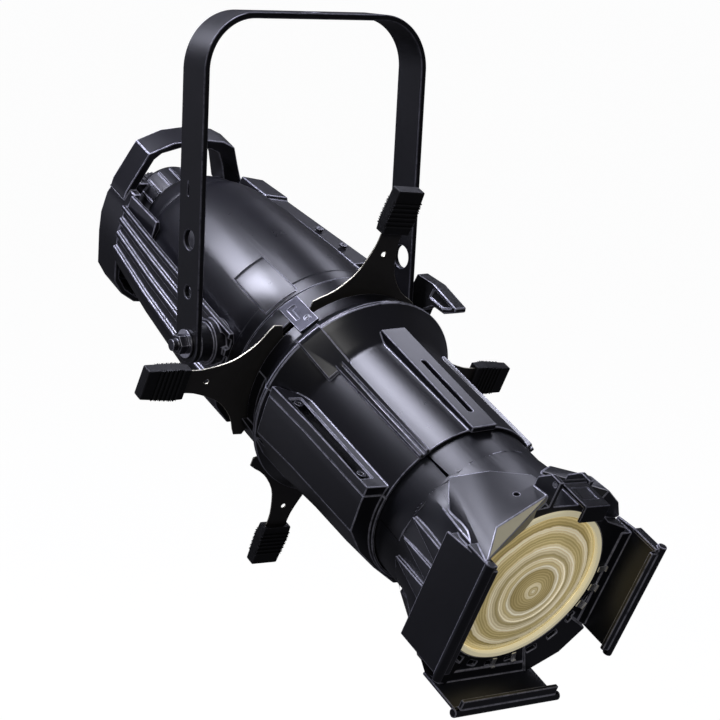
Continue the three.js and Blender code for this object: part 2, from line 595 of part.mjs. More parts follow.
function buildLensTube() {
  const tubeGroup = group('lens_tube_group', barrel);
  const hinge = 329;
  const sleeve = bar('l', TUBE_RADIUS, TUBE_REAR, FLARE_START + 2, 0, 0, ROUND);
  const flare = lofted([roundAt(FLARE_START, TUBE_RADIUS), roundAt(FLARE_START + 8, TUBE_RADIUS + 0.5),
    octagonAt(322, 0), octagonAt(333, 0)]);
  const hollow = cut(lofted([roundAt(FLARE_START + 4, TUBE_BORE - 1), octagonAt(323, 3.4), octagonAt(330, 3.4)]), [
    box(-100, 100, 200, 400, 24, 100),
  ]);
  const collar = turned([[TUBE_BORE, 262], [TUBE_BORE + 2.8, 262], [TUBE_BORE + 2.8, 333], [TUBE_BORE, 333]], ROUND);
  const seat = turned([[61.5, 318], [TUBE_BORE + 1, 318], [TUBE_BORE + 1, 321.4], [61.5, 321.4]], ROUND);
  const bore = bar('l', TUBE_BORE, TUBE_REAR - 1, 340, 0, 0, ROUND);
  const tube = cut(sleeve, [bore]);
  const windows = [];
  for (let turn = -60; turn <= 60; turn += 30) {
    windows.push(rolled(box(-4.5, 4.5, 326, 336, -75.8, -71.4), turn));
  }
  const bell = cut(flare, [hollow, bore]);
  const corners = CORNERS.map((points) => cut(corner(points), [bore]));
  const wings = [-1, 1].map(wing);
  const sill = join([
    box(-50, 50, 320, WING_FRONT - 3, -HOLDER_HALF - 1.5, -HOLDER_HALF + 1),
    box(-46, 46, 320, 334, -HOLDER_HALF, -77),
    box(-48, 48, WING_FRONT - 6, WING_FRONT - 2.5, -HOLDER_HALF, -77),
    bar('x', 3.6, -53, 53, WING_FRONT - 4, -HOLDER_HALF - 0.5, 12),
  ]);
  const lugs = [-1, 1].map((sign) => {
    const x0 = sign > 0 ? LATCH_HALF + 0.6 : -LATCH_HALF - 5;
    const lug = sideways([[312, 66], [312, 84], [322, 93], [333, 93], [333, 66]], x0, x0 + 4.4);
    return cut(lug, [bar('x', 1.6, x0 - 1, x0 + 6, hinge, 88.8, 10), bar('l', TUBE_BORE, 300, 340, 0, 0, ROUND)]);
  });
  const fins = [[18, 16.8], [-0.8, 0.2], [-17.4, -16.4]].map(gusset);
  const body = cut(join([tube, bell, collar, seat, ...corners, ...wings, ...lugs, sill, ...fins]), windows);
  piece('lens_tube', body, castBlack, tubeGroup);

  const lens = turned([[0, 340], [20, 339.3], [40, 336.8], [58, 332], [62, 330], [64.9, 330], [64.9, 321.7], [0, 321.7]], ROUND);
  piece('front_lens', lens, lensGlass, tubeGroup);
  piece('lens_ring', turned([[62.6, 330.3], [67.2, 330.3], [67.2, 334], [62.6, 334]], ROUND), badgeGrey, tubeGroup);

  const stem = bar('z', 4, -100, -TUBE_RADIUS - GAP, 0, 192, 12);
  piece('focus_stem', rolled(stem, FOCUS_TURN), plainSteel, tubeGroup);
  const knob = cut(bar('z', 12, -116, -97, 0, 192, 12), [bar('z', 4.3, -102, -96, 0, 192, 12)]);
  piece('focus_knob', rolled(knob, FOCUS_TURN), gripBlack, tubeGroup);

  const latchSide = [[hinge, 88.5], [356, 88.5], [356, 77], [358.4, 77], [358.4, 91], [hinge, 91]];
  const eye = bar('x', 3.2, -LATCH_HALF, LATCH_HALF, hinge, 88.8, 14);
  const latch = cut(join([sideways(latchSide, -LATCH_HALF, LATCH_HALF), eye]), [
    bar('x', 1.6, -LATCH_HALF - 1, LATCH_HALF + 1, hinge, 88.8, 10),
  ]);
  piece('frame_latch', latch, satinBlack, tubeGroup);
  piece('latch_pin', bar('x', 1.3, -LATCH_HALF - 4.4, LATCH_HALF + 4.4, hinge, 88.8, 10), plainSteel, tubeGroup);
}

buildYoke();
buildShell();
buildHousingTrim();
buildRear();
buildLamp();
buildBarrelHalves();
buildShutters();
buildLensTube();

export default root;
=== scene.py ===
"""Looks for a profile spotlight on its yoke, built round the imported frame. Blender 4.5."""
import json
import math

import bmesh
import bpy
import numpy as np
from mathutils import Matrix, Vector
from mathutils.bvhtree import BVHTree


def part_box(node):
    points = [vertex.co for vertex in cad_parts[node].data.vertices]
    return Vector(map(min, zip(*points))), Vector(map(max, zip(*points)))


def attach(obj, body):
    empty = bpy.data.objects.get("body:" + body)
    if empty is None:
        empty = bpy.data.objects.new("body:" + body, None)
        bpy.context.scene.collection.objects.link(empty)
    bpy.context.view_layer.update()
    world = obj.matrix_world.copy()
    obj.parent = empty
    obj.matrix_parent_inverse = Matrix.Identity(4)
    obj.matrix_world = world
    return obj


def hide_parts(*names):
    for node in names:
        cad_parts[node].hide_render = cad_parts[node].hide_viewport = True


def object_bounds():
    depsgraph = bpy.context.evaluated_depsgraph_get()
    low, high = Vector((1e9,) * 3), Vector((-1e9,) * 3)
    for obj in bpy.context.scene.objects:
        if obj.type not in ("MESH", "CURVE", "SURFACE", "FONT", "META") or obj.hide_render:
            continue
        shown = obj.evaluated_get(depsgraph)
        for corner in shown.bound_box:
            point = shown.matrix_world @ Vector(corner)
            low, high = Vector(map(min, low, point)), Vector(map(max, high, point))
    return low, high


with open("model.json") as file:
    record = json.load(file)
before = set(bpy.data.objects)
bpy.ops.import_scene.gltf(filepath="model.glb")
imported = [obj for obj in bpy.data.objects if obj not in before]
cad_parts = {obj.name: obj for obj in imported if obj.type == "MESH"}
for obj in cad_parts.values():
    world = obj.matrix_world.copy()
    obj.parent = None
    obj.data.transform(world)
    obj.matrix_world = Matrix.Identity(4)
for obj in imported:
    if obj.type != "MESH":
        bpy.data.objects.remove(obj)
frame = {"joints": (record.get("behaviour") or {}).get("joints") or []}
CAD_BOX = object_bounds()
JOINTS = {j["name"]: j for j in frame["joints"]}
SCENE = bpy.context.scene
MM = 0.001

# ---------------------------------------------------------------- frames of the moving groups


def axes_matrix(x, y, z, origin):
    m = Matrix.Identity(4)
    for i, v in enumerate((x, y, z)):
        for k in range(3):
            m[k][i] = v[k]
    m.translation = origin
    return m


PIVOT = Vector(JOINTS["tilt"]["pos_m"])
FORWARD = Vector(JOINTS["barrel_turn"]["axis"]).normalized()
OPTIC = Vector(JOINTS["barrel_turn"]["pos_m"])
RIGHT = Vector(JOINTS["shutter_left_slide"]["axis"]).normalized()
BARREL_UP = -Vector(JOINTS["shutter_top_slide"]["axis"]).normalized()
WORLD_X = Vector((1, 0, 0))
HOUSING = axes_matrix(WORLD_X, -FORWARD, WORLD_X.cross(-FORWARD), OPTIC)
BARREL = axes_matrix(RIGHT, -FORWARD, BARREL_UP, OPTIC)
YOKE = Matrix.Identity(4)
PIVOT_FRAME = Matrix.Translation(PIVOT)
YOKE_DROP = -PIVOT.z / MM
HALF_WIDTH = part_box("yoke_strap")[1].x / MM
STRAP = 5.0
STRAP_WIDTH = 33.0
TILT = math.atan2(-FORWARD.z, -FORWARD.y)

# ---------------------------------------------------------------- solids, in millimetres: (points, faces)


def box(x0, x1, l0, l1, z0, z1):
    ys = (-max(l0, l1), -min(l0, l1))
    pts = [(x, y, z) for z in (z0, z1) for y in ys for x in (x0, x1)]
    faces = [(0, 2, 3, 1), (4, 5, 7, 6), (0, 1, 5, 4), (2, 6, 7, 3), (0, 4, 6, 2), (1, 3, 7, 5)]
    return np.array(pts, float), faces


def bar(axis, radius, start, end, a, b, count=48, end_radius=None):
    """Round bar along 'x', 'l' (forward) or 'z'; a and b place its centre on the other two."""
    far = radius if end_radius is None else end_radius
    turn = [2 * math.pi * i / count for i in range(count)]
    pts = []
    for t, r in ((start, radius), (end, far)):
        for k in turn:
            c, s = r * math.cos(k), r * math.sin(k)
            if axis == "x":
                pts.append((t, -(a + c), b + s))
            elif axis == "z":
                pts.append((a + c, -(b + s), t))
            else:
                pts.append((a + c, -t, b + s))
    return np.array(pts, float), tube_faces(count)


def tube_faces(count, rows=2):
    faces = [tuple(range(count)), tuple(range((rows - 1) * count, rows * count))]
    for r in range(rows - 1):
        for i in range(count):
            j = (i + 1) % count
            faces.append((r * count + i, r * count + j, (r + 1) * count + j, (r + 1) * count + i))
    return faces


def turned(profile, count=128):
    """Body of revolution about the optical axis; profile points are (radius, distance forward)."""
    pts, rings = [], []
    for r, l in profile:
        if r <= 0:
            rings.append([len(pts)] * count)
            pts.append((0, -l, 0))
        else:
            rings.append(list(range(len(pts), len(pts) + count)))
            pts += [(r * math.cos(2 * math.pi * i / count), -l, r * math.sin(2 * math.pi * i / count))
                    for i in range(count)]
    loop = list(range(len(profile)))
    pairs = list(zip(loop, loop[1:]))
    if profile[0][0] > 0:
        pairs.append((loop[-1], 0))
    faces = []
    for p, q in pairs:
        for i in range(count):
            j = (i + 1) % count
            ring = [rings[p][i], rings[p][j], rings[q][j], rings[q][i]]
            face = [v for k, v in enumerate(ring) if v != ring[k - 1]]
            if len(face) > 2:
                faces.append(tuple(face))
    return np.array(pts, float), faces


def lofted(sections):
    """Skin through equal-sized outlines [(l, [(x, z), ...]), ...] closed by flat ends."""
    count = len(sections[0][1])
    pts = [(x, -l, z) for l, row in sections for x, z in row]
    return np.array(pts, float), tube_faces(count, len(sections))


def prism(points, l0, l1):
    return lofted([(l0, points), (l1, points)])


def sideways(points, x0, x1):
    """Outline in side view, (distance forward, z), stretched across x."""
    count = len(points)
    pts = [(x, -l, z) for x in (x0, x1) for l, z in points]
    return np.array(pts, float), tube_faces(count)


def plan(points, z0, z1):
    """Outline seen from above, (x, distance forward), stretched in z."""
    count = len(points)
    pts = [(x, -l, z) for z in (z0, z1) for x, l in points]
    return np.array(pts, float), tube_faces(count)


def hull(points):
    bm = bmesh.new()
    for x, l, z in points:
        bm.verts.new((x, -l, z))
    made = bmesh.ops.convex_hull(bm, input=bm.verts)
    loose = [v for v in set(made["geom_interior"] + made["geom_unused"]) if isinstance(v, bmesh.types.BMVert)]
    bmesh.ops.delete(bm, geom=loose, context="VERTS")
    bm.verts.index_update()
    out = np.array([v.co for v in bm.verts], float), [tuple(v.index for v in f.verts) for f in bm.faces]
    bm.free()
    return out


def rolled(solid, degrees):
    """Turn about the optical axis, from x towards z."""
    c, s = math.cos(math.radians(degrees)), math.sin(math.radians(degrees))
    p = solid[0]
    return np.stack([p[:, 0] * c - p[:, 2] * s, p[:, 1], p[:, 0] * s + p[:, 2] * c], 1), solid[1]


def moved(solid, x, l, z):
    return solid[0] + np.array([x, -l, z]), solid[1]


def tilted(solid, degrees):
    """Turn about the x axis."""
    c, s = math.cos(math.radians(degrees)), math.sin(math.radians(degrees))
    p = solid[0]
    return np.stack([p[:, 0], p[:, 1] * c - p[:, 2] * s, p[:, 1] * s + p[:, 2] * c], 1), solid[1]


def arc(cx, cz, radius, start, end, steps):
    turns = [math.radians(start + (end - start) * i / steps) for i in range(steps + 1)]
    return [(cx + radius * math.cos(t), cz + radius * math.sin(t)) for t in turns]


def mirrored(points):
    return [(-x, z) for x, z in points]


# ---------------------------------------------------------------- solids to meshes


def as_object(solid, name="scratch"):
    pts, faces = solid
    mesh = bpy.data.meshes.new(name)
    mesh.from_pydata([tuple(p * MM) for p in pts], [], faces)
    bm = bmesh.new()
    bm.from_mesh(mesh)
    bmesh.ops.remove_doubles(bm, verts=bm.verts, dist=1e-7)
    bmesh.ops.recalc_face_normals(bm, faces=bm.faces)
    bm.to_mesh(mesh)
    bm.free()
    obj = bpy.data.objects.new(name, mesh)
    SCENE.collection.objects.link(obj)
    return obj


def bake(obj):
    """The object's mesh with its modifiers applied."""
    bpy.context.view_layer.update()
    mesh = bpy.data.meshes.new_from_object(obj.evaluated_get(bpy.context.evaluated_depsgraph_get()))
    obj.modifiers.clear()
    old = obj.data
    obj.data = mesh
    bpy.data.meshes.remove(old)
    return obj


def shaped(base, add=(), cut=(), keep=None):
    """Booleans: base plus every solid in add, minus every solid in cut, within keep."""
    obj = base if isinstance(base, bpy.types.Object) else as_object(base)
    tools = []
    steps = [("UNION", s) for s in add] + [("DIFFERENCE", s) for s in cut]
    if keep is not None:
        steps.append(("INTERSECT", keep))
    for operation, solid in steps:
        tool = solid if isinstance(solid, bpy.types.Object) else as_object(solid)
        tools.append(tool)
        mod = obj.modifiers.new(operation, "BOOLEAN")
        mod.operation = operation
        mod.object = tool
        mod.solver = "MANIFOLD"
    bake(obj)
    for tool in tools:
        mesh = tool.data
        bpy.data.objects.remove(tool)
        bpy.data.meshes.remove(mesh)
    return obj


def scratch_copy(obj):
    twin = obj.copy()
    twin.data = obj.data.copy()
    SCENE.collection.objects.link(twin)
    return twin


SETTLE_SLACK = 1.02  # a rounded corner may stand this many bevel widths off the sharp surface


def surface_tree(mesh):
    return BVHTree.FromPolygons([v.co.copy() for v in mesh.vertices],
                                [tuple(p.vertices) for p in mesh.polygons])


def settle(mesh, surface, reach):
    """Rounded corners stay within reach of the surface they came from."""
    for v in mesh.vertices:
        place, _, _, distance = surface.find_nearest(v.co)
        if distance is not None and distance > reach:
            v.co = place


def piece(name, body, shape, matrix, material, edge=None, bevel=0.6, rounds=2, cad=None, angle=32,
          crease=40, paint=None,
          weld=0.05):
    """Finishes one visible piece: clean faces, rounded edges, shading, material, body and CAD node."""
    obj = shape if isinstance(shape, bpy.types.Object) else as_object(shape)
    obj.name = name
    bm = bmesh.new()
    bm.from_mesh(obj.data)
    bmesh.ops.remove_doubles(bm, verts=bm.verts, dist=weld * MM)
    bmesh.ops.dissolve_degenerate(bm, dist=1e-5, edges=bm.edges)
    bmesh.ops.dissolve_limit(bm, angle_limit=math.radians(1.2), verts=bm.verts, edges=bm.edges)
    bm.to_mesh(obj.data)
    bm.free()
    obj.data.materials.clear()
    obj.data.materials.append(material)
    obj.data.materials.append(edge or material)
    if paint:
        obj.data.materials.append(paint[0])
        for poly in obj.data.polygons:
            if paint[1](poly.center / MM, poly.normal):
                poly.material_index = 2
    if bevel:
        surface = surface_tree(obj.data)
        mod = obj.modifiers.new("rounded", "BEVEL")
        mod.width = bevel * MM
        mod.segments = rounds
        mod.limit_method = "ANGLE"
        mod.angle_limit = math.radians(angle)
        # bevel faces take slot 1, the edge material; for most pieces that is a painted edge highlight
        mod.material = 1
        mod.use_clamp_overlap = False
        mod.miter_outer = "MITER_ARC"
        bake(obj)
        settle(obj.data, surface, bevel * MM * SETTLE_SLACK)
    mesh = obj.data
    for poly in mesh.polygons:
        poly.use_smooth = True
    bm = bmesh.new()
    bm.from_mesh(mesh)
    for e in bm.edges:
        e.smooth = not e.is_manifold or e.calc_face_angle(0) < math.radians(crease)
    bm.to_mesh(mesh)
    bm.free()
    mod = obj.modifiers.new("normals", "WEIGHTED_NORMAL")
    mod.keep_sharp = True
    mod.weight = 60
    bake(obj)
    obj.matrix_world = matrix
    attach(obj, body)
    if cad:
        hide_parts(*cad)
    return obj


# ---------------------------------------------------------------- materials


class Nodes:
    """Small helper to wire a material's nodes."""

    def __init__(self, name):
        self.material = bpy.data.materials.new(name)
        self.material.use_nodes = True
        self.tree = self.material.node_tree
        self.shader = self.tree.nodes["Principled BSDF"]
        coords = self.tree.nodes.new("ShaderNodeTexCoord")
        self.coords = coords.outputs["Object"]

    def add(self, kind, **values):
        node = self.tree.nodes.new(kind)
        for key, value in values.items():
            if hasattr(node, key):
                setattr(node, key, value)
            else:
                node.inputs[key.replace("_", " ")].default_value = value
        return node

    def link(self, a, b):
        self.tree.links.new(a, b)

    def noise(self, scale, detail=4.0, rough=0.55, stretch=(1, 1, 1)):
        mapping = self.add("ShaderNodeMapping")
        mapping.inputs["Scale"].default_value = stretch
        self.link(self.coords, mapping.inputs["Vector"])
        tex = self.add("ShaderNodeTexNoise", Scale=scale, Detail=detail, Roughness=rough)
        self.link(mapping.outputs["Vector"], tex.inputs["Vector"])
        return tex.outputs["Fac"]

    def ramp(self, source, stops):
        node = self.add("ShaderNodeValToRGB")
        els = node.color_ramp.elements
        while len(els) < len(stops):
            els.new(0.5)
        for el, (pos, colour) in zip(els, stops):
            el.position = pos
            el.color = (*colour, 1) if len(colour) == 3 else colour
        self.link(source, node.inputs["Fac"])
        return node.outputs["Color"]

    def span(self, source, low, high, start=0.3, end=0.7):
        node = self.add("ShaderNodeMapRange")
        for key, value in zip(("From Min", "From Max", "To Min", "To Max"), (start, end, low, high)):
            node.inputs[key].default_value = value
        self.link(source, node.inputs["Value"])
        return node.outputs["Result"]

    def bump(self, height, strength, distance):
        node = self.add("ShaderNodeBump", Strength=strength, Distance=distance)
        self.link(height, node.inputs["Height"])
        self.link(node.outputs["Normal"], self.shader.inputs["Normal"])
        return node

    def set(self, **values):
        for key, value in values.items():
            self.shader.inputs[key.replace("_", " ")].default_value = value
        return self.material


def tint(colour, k):
    return tuple(min(1.0, c * k) for c in colour)


def coated(name, colour, rough, grain=900.0, grain_depth=0.08, specular=0.5, metallic=0.0, patch=1.5):
    """Powder coat or moulded plastic: fine grain, slow colour and gloss variation, faint dust."""
    n = Nodes(name)
    cloud = n.noise(22.0, 4.0, 0.5)
    n.link(n.ramp(cloud, [(0.25, tint(colour, 0.86)), (0.55, colour), (0.8, tint(colour, patch))]),
           n.shader.inputs["Base Color"])
    smear = n.noise(60.0, 6.0, 0.7)
    n.link(n.span(smear, rough - 0.008, rough + 0.012), n.shader.inputs["Roughness"])
    n.bump(n.noise(grain, 3.0, 0.6), grain_depth, 0.0004)
    return n.set(Specular_IOR_Level=specular, Metallic=metallic)


def edge_highlight_and_wear(name, colour, paint, rough=0.3, metallic=0.4):
    """Rounded edges: a lighter colour painted on as a highlight, with noise letting the coat show through as
    wear.
    """
    n = Nodes(name)
    wear_and_sheen = n.noise(120.0, 6.0, 0.7)
    n.link(n.ramp(wear_and_sheen, [(0.30, paint), (0.5, tint(colour, 0.75)), (0.75, colour)]),
           n.shader.inputs["Base Color"])
    n.link(n.span(n.noise(300.0), rough - 0.06, rough + 0.1), n.shader.inputs["Roughness"])
    n.bump(n.noise(900.0, 2.0), 0.05, 0.0002)
    return n.set(Metallic=metallic)


def metal(name, colour, rough, stretch=(1, 1, 1), scale=260.0, depth=0.06, stain=0.75):
    """Plain or brushed metal, with a draw direction if stretch is uneven."""
    n = Nodes(name)
    lines = n.noise(scale, 4.0, 0.6, stretch)
    n.link(n.ramp(lines, [(0.3, tint(colour, stain)), (0.7, tint(colour, 1.12))]),
           n.shader.inputs["Base Color"])
    n.link(n.span(n.noise(40.0, 5.0), rough - 0.06, rough + 0.12), n.shader.inputs["Roughness"])
    n.bump(lines, depth, 0.0002)
    return n.set(Metallic=1.0)


def blued_sheet(name):
    """Shutter steel: dark, warm, heat-stained, faintly scratched along its length."""
    n = Nodes(name)
    stain = n.noise(9.0, 6.0, 0.65)
    n.link(n.ramp(stain, [(0.2, (0.050, 0.047, 0.046)), (0.45, (0.072, 0.068, 0.064)),
                          (0.62, (0.060, 0.056, 0.055)),
                          (0.85, (0.105, 0.097, 0.088))]), n.shader.inputs["Base Color"])
    scratch = n.noise(70.0, 3.0, 0.5, (1, 1, 9))
    n.link(n.span(scratch, 0.40, 0.58), n.shader.inputs["Roughness"])
    n.bump(scratch, 0.05, 0.0002)
    return n.set(Metallic=0.65, Specular_IOR_Level=0.4)


def scaled(n, source, factor):
    node = n.add("ShaderNodeMath", operation="MULTIPLY")
    node.inputs[1].default_value = factor
    n.link(source, node.inputs[0])
    return node.outputs[0]


def moulded_glass(name):
    """Front lens: warm glass whose fine moulded rings run between khaki and cream, the same colours also
    emitted as a painted glow.
    """
    n = Nodes(name)
    split = n.add("ShaderNodeSeparateXYZ")
    n.link(n.coords, split.inputs[0])
    flat = n.add("ShaderNodeCombineXYZ")
    n.link(split.outputs["X"], flat.inputs["X"])
    n.link(split.outputs["Z"], flat.inputs["Y"])
    length = n.add("ShaderNodeVectorMath", operation="LENGTH")
    n.link(flat.outputs[0], length.inputs[0])
    radius = n.add("ShaderNodeMath", operation="MULTIPLY")
    radius.inputs[1].default_value = 1 / 0.066
    n.link(length.outputs["Value"], radius.inputs[0])
    wobble = n.noise(26.0, 4.0, 0.6)
    shift = n.span(wobble, -0.018, 0.018)
    total = n.add("ShaderNodeMath", operation="ADD")
    n.link(radius.outputs[0], total.inputs[0])
    n.link(shift, total.inputs[1])
    khaki, dark, cream, pale = (0.60, 0.50, 0.25), (0.36, 0.285, 0.11), (0.98, 0.90, 0.68), (1.0, 0.95, 0.78)
    stops = [(0.0, cream), (0.05, khaki), (0.09, cream), (0.12, khaki), (0.29, (0.42, 0.34, 0.15)),
             (0.335, pale), (0.37, khaki),
             (0.44, cream), (0.47, (0.40, 0.33, 0.15)), (0.58, cream), (0.61, khaki),
             (0.69, (0.50, 0.42, 0.2)), (0.72, khaki),
             (0.79, cream), (0.82, dark), (0.9, khaki), (0.93, (0.5, 0.42, 0.2)), (0.955, khaki),
             (0.975, pale), (1.0, pale)]
    rings = n.ramp(total.outputs[0], stops)
    patch = n.noise(11.0, 3.0, 0.5)
    mix = n.add("ShaderNodeMix", data_type="RGBA", blend_type="MULTIPLY")
    mix.inputs[0].default_value = 1.0
    fine = n.add("ShaderNodeMath", operation="SINE")
    n.link(scaled(n, total.outputs[0], 190.0), fine.inputs[0])
    lines = n.add("ShaderNodeMix", data_type="RGBA", blend_type="MULTIPLY")
    lines.inputs[0].default_value = 0.8
    n.link(rings, lines.inputs[6])
    n.link(n.ramp(n.span(fine.outputs[0], 0, 1, -1, 1), [(0.35, (0.70, 0.67, 0.58)),
                                                         (0.75, (1.0, 1.0, 1.0))]), lines.inputs[7])
    n.link(lines.outputs[2], mix.inputs[6])
    n.link(n.ramp(patch, [(0.3, (0.72, 0.70, 0.62)), (0.65, (1.15, 1.12, 1.1))]), mix.inputs[7])
    n.link(mix.outputs[2], n.shader.inputs["Base Color"])
    # painted glow: the ring colours are also emitted, so the lens stays pale
    n.link(mix.outputs[2], n.shader.inputs["Emission Color"])
    n.link(n.span(n.noise(90.0, 4.0), 0.18, 0.32), n.shader.inputs["Roughness"])
    n.bump(n.noise(240.0, 3.0), 0.12, 0.0003)
    return n.set(Specular_IOR_Level=0.6, Coat_Weight=0.6, Coat_Roughness=0.06, Emission_Strength=LENS_PAINTED_GLOW)


LENS_PAINTED_GLOW = 0.50  # painted glow: the lens and its rim give off a little light, so they stay pale in the dark holder
RIM_PAINTED_GLOW = 0.35


# painted glow: emission that makes a part that is no lamp give off light
def with_painted_glow(material, colour, strength):
    sockets = material.node_tree.nodes["Principled BSDF"].inputs
    sockets["Emission Color"].default_value = (*colour, 1)
    sockets["Emission Strength"].default_value = strength
    return material


BLACK = (0.007, 0.007, 0.0095)
M = {
    "cast": coated("cast_coat", BLACK, 0.33, grain=1100.0, grain_depth=0.10, specular=0.62),
    "barrel": coated("barrel_coat", BLACK, 0.28, grain=1500.0, grain_depth=0.035, specular=0.68),
    "holder": coated("holder_coat", (0.008, 0.0085, 0.0115), 0.34, grain=900.0, grain_depth=0.10,
                     specular=0.6),
    "yoke": coated("yoke_coat", (0.006, 0.006, 0.0075), 0.42, grain=1300.0, grain_depth=0.08, specular=0.3),
    # edge materials: bevels a lighter colour than the coat, a painted highlight broken up as wear
    "edge": edge_highlight_and_wear("edge_highlight_and_wear", (0.48, 0.48, 0.55), (0.10, 0.10, 0.12), metallic=0.3),
    "yoke_edge": edge_highlight_and_wear("yoke_edge_highlight_and_wear", (0.16, 0.16, 0.19), (0.02, 0.02, 0.03), metallic=0.3),
    "grip": coated("grip_plastic", (0.005, 0.005, 0.0055), 0.55, grain=700.0, grain_depth=0.35,
                   specular=0.35),
    # grip bevels: a lighter plastic colour, a painted edge highlight
    "grip_painted_edge": coated("grip_painted_edge", (0.02, 0.02, 0.022), 0.45, grain=700.0, grain_depth=0.2, specular=0.4),
    "inner": coated("soot_black", (0.006, 0.006, 0.007), 0.75, grain=500.0, grain_depth=0.3, specular=0.2),
    "blade": blued_sheet("shutter_sheet"),
    "blade_edge": metal("shutter_cut_edge", (0.80, 0.77, 0.62), 0.42),
    "steel": metal("zinc_steel", (0.56, 0.56, 0.60), 0.28, scale=420.0),
    "dark_steel": metal("blackened_steel", (0.085, 0.085, 0.095), 0.36, scale=380.0),
    "plate": metal("plate_brushed", (0.09, 0.09, 0.105), 0.45, stretch=(1, 14, 1), scale=140.0, depth=0.12),
    "plate_edge": metal("plate_edge", (0.50, 0.50, 0.56), 0.3),
    "mirror": metal("reflector_coat", (0.86, 0.82, 0.70), 0.10, scale=30.0, depth=0.02, stain=0.94),
    "lens": moulded_glass("lens_glass"),
    "clip": metal("clip_steel", (0.80, 0.80, 0.80), 0.42, scale=200.0),
    # pale cream painted on part of the lens tube's inner lip, a painted light patch
    "cream": coated("painted_lip_light", (0.72, 0.67, 0.46), 0.42, grain=300.0, grain_depth=0.05, specular=0.4,
                    patch=1.1),
    # lens rim: its own cream colour plus a painted glow
    "rim": with_painted_glow(coated("lens_rim", (0.80, 0.74, 0.52), 0.3, grain=300.0, grain_depth=0.05, patch=1.1),
                   (1.0, 0.90, 0.60), RIM_PAINTED_GLOW),
    "ceramic": coated("lamp_ceramic", (0.74, 0.71, 0.64), 0.5, grain=500.0, grain_depth=0.1, patch=1.05),
    "rubber": coated("gland_rubber", (0.010, 0.010, 0.011), 0.65, grain=400.0, grain_depth=0.3, specular=0.3),
    "bulb": coated("quartz", (0.75, 0.75, 0.72), 0.08, grain=200.0, grain_depth=0.02, patch=1.1),
}

# ---------------------------------------------------------------- yoke


def build_yoke():
    half, corner, inner = HALF_WIDTH, 46.0, 41.0
    foot = -YOKE_DROP - STRAP_WIDTH / 2
    bend = half - corner
    outline = [(-half, foot), *arc(-bend, -corner, corner, 180, 90, 28),
               *arc(bend, -corner, corner, 90, 0, 28),
               (half, foot), (half - STRAP, foot), *arc(bend, -corner, inner, 0, 90, 28),
               *arc(-bend, -corner, inner, 90, 180, 28), (-half + STRAP, foot)]
    r = STRAP_WIDTH / 2
    side = [(-r, 1), (r, 1), *arc(0, -YOKE_DROP, r, 0, -180, 40)]
    leg = half - STRAP - 1

    def through(sign, radius, up, l=0.0):
        return bar("x", radius, sign * leg, sign * (half + 1), l, up - YOKE_DROP, 40)

    strap = shaped(prism(outline, -r, r), keep=sideways(side, -half - 1, half + 1))
    strap = shaped(strap, cut=[
        through(-1, 5.5, 0), through(1, 5.5, 0), through(-1, 5.2, 42.5), through(-1, 8, 85),
        through(1, 10, 58.7, 2),
        box(-half - 1, -leg, -4.4, -2.2, -YOKE_DROP + 120, -YOKE_DROP + 129),
        bar("z", 6.5, -STRAP - 1, 1, 0, 0, 48)])
    piece("yoke_flat_bar", "yoke", strap, YOKE, M["yoke"], M["yoke_edge"], bevel=0.9, rounds=3,
          cad=["yoke_strap"])

    washer = shaped(bar("x", 12, -half - 2, -half - 0.3, 0, 0), cut=[bar("x", 5.3, -half - 3, -half, 0, 0)])
    piece("pivot_washer", "housing", washer, PIVOT_FRAME, M["steel"], bevel=0.4,
          cad=["pivot_washer_left"])
    bolt = shaped(bar("x", 8.6, -half - 9, -half - 2.3, 0, 0, 6),
                  add=[bar("x", 4.9, -half - 14, -92, 0, 0, 32)],
                  keep=bar("x", 9.4, -half - 15, -80, 0, 0, 40, end_radius=8.0))
    piece("pivot_bolt", "housing", bolt, PIVOT_FRAME, M["dark_steel"], M["steel"], bevel=0.5,
          cad=["pivot_bolt_left"])
    disc = shaped(bar("x", 13, half + 0.3, half + 2, 0, 0), cut=[bar("x", 5.3, half, half + 3, 0, 0)])
    piece("friction_disc", "housing", disc, PIVOT_FRAME, M["dark_steel"], bevel=0.3,
          cad=["friction_washer_right"])
    stud = bar("x", 4.9, 92, half + 14, 0, 0, 32)
    piece("tilt_stud", "housing", stud, PIVOT_FRAME, M["steel"], bevel=0.6,
          cad=["pivot_stud_right"])


def build_lever():
    start = HALF_WIDTH + 2.3
    outline = [(-12, -6), (-4, -12), (6, -11), (12, -2), (15, 22), (25, 31), (41, 33), (54, 42), (53, 46),
               (42, 47),
               (20, 49), (-6, 45), (-8, 34), (-12, 8)]
    arm = tilted(sideways(outline, start + 5, start + 17), math.degrees(TILT))
    pocket = tilted(sideways([(18, 36), (38, 37), (48, 43), (40, 44), (20, 45.5)], start + 2, start + 6.2),
                    math.degrees(TILT))
    knob = shaped(bar("x", 12.5, start, start + 12, 0, 0), add=[arm],
                  cut=[pocket, bar("x", 5.2, start - 1, HALF_WIDTH + 14.3, 0, 0, 32)])
    piece("tilt_lever_arm", "tilt_lever", knob, PIVOT_FRAME, M["grip"], M["edge"],
          bevel=1.1, rounds=3,
          cad=["tilt_lock_knob"])


# ---------------------------------------------------------------- lamp housing
SHELL = [(58.5, -166), (60.5, -163), (64.5, -150), (68.5, -125), (72.3, -90), (75.7, -50), (78.3, -10),
         (79.6, 22),
         (81.3, 26), (81.3, 37)]


def shell_core(clearance):
    return turned([(0, -166), *[(r + clearance, l) for r, l in SHELL], (0, 37)])


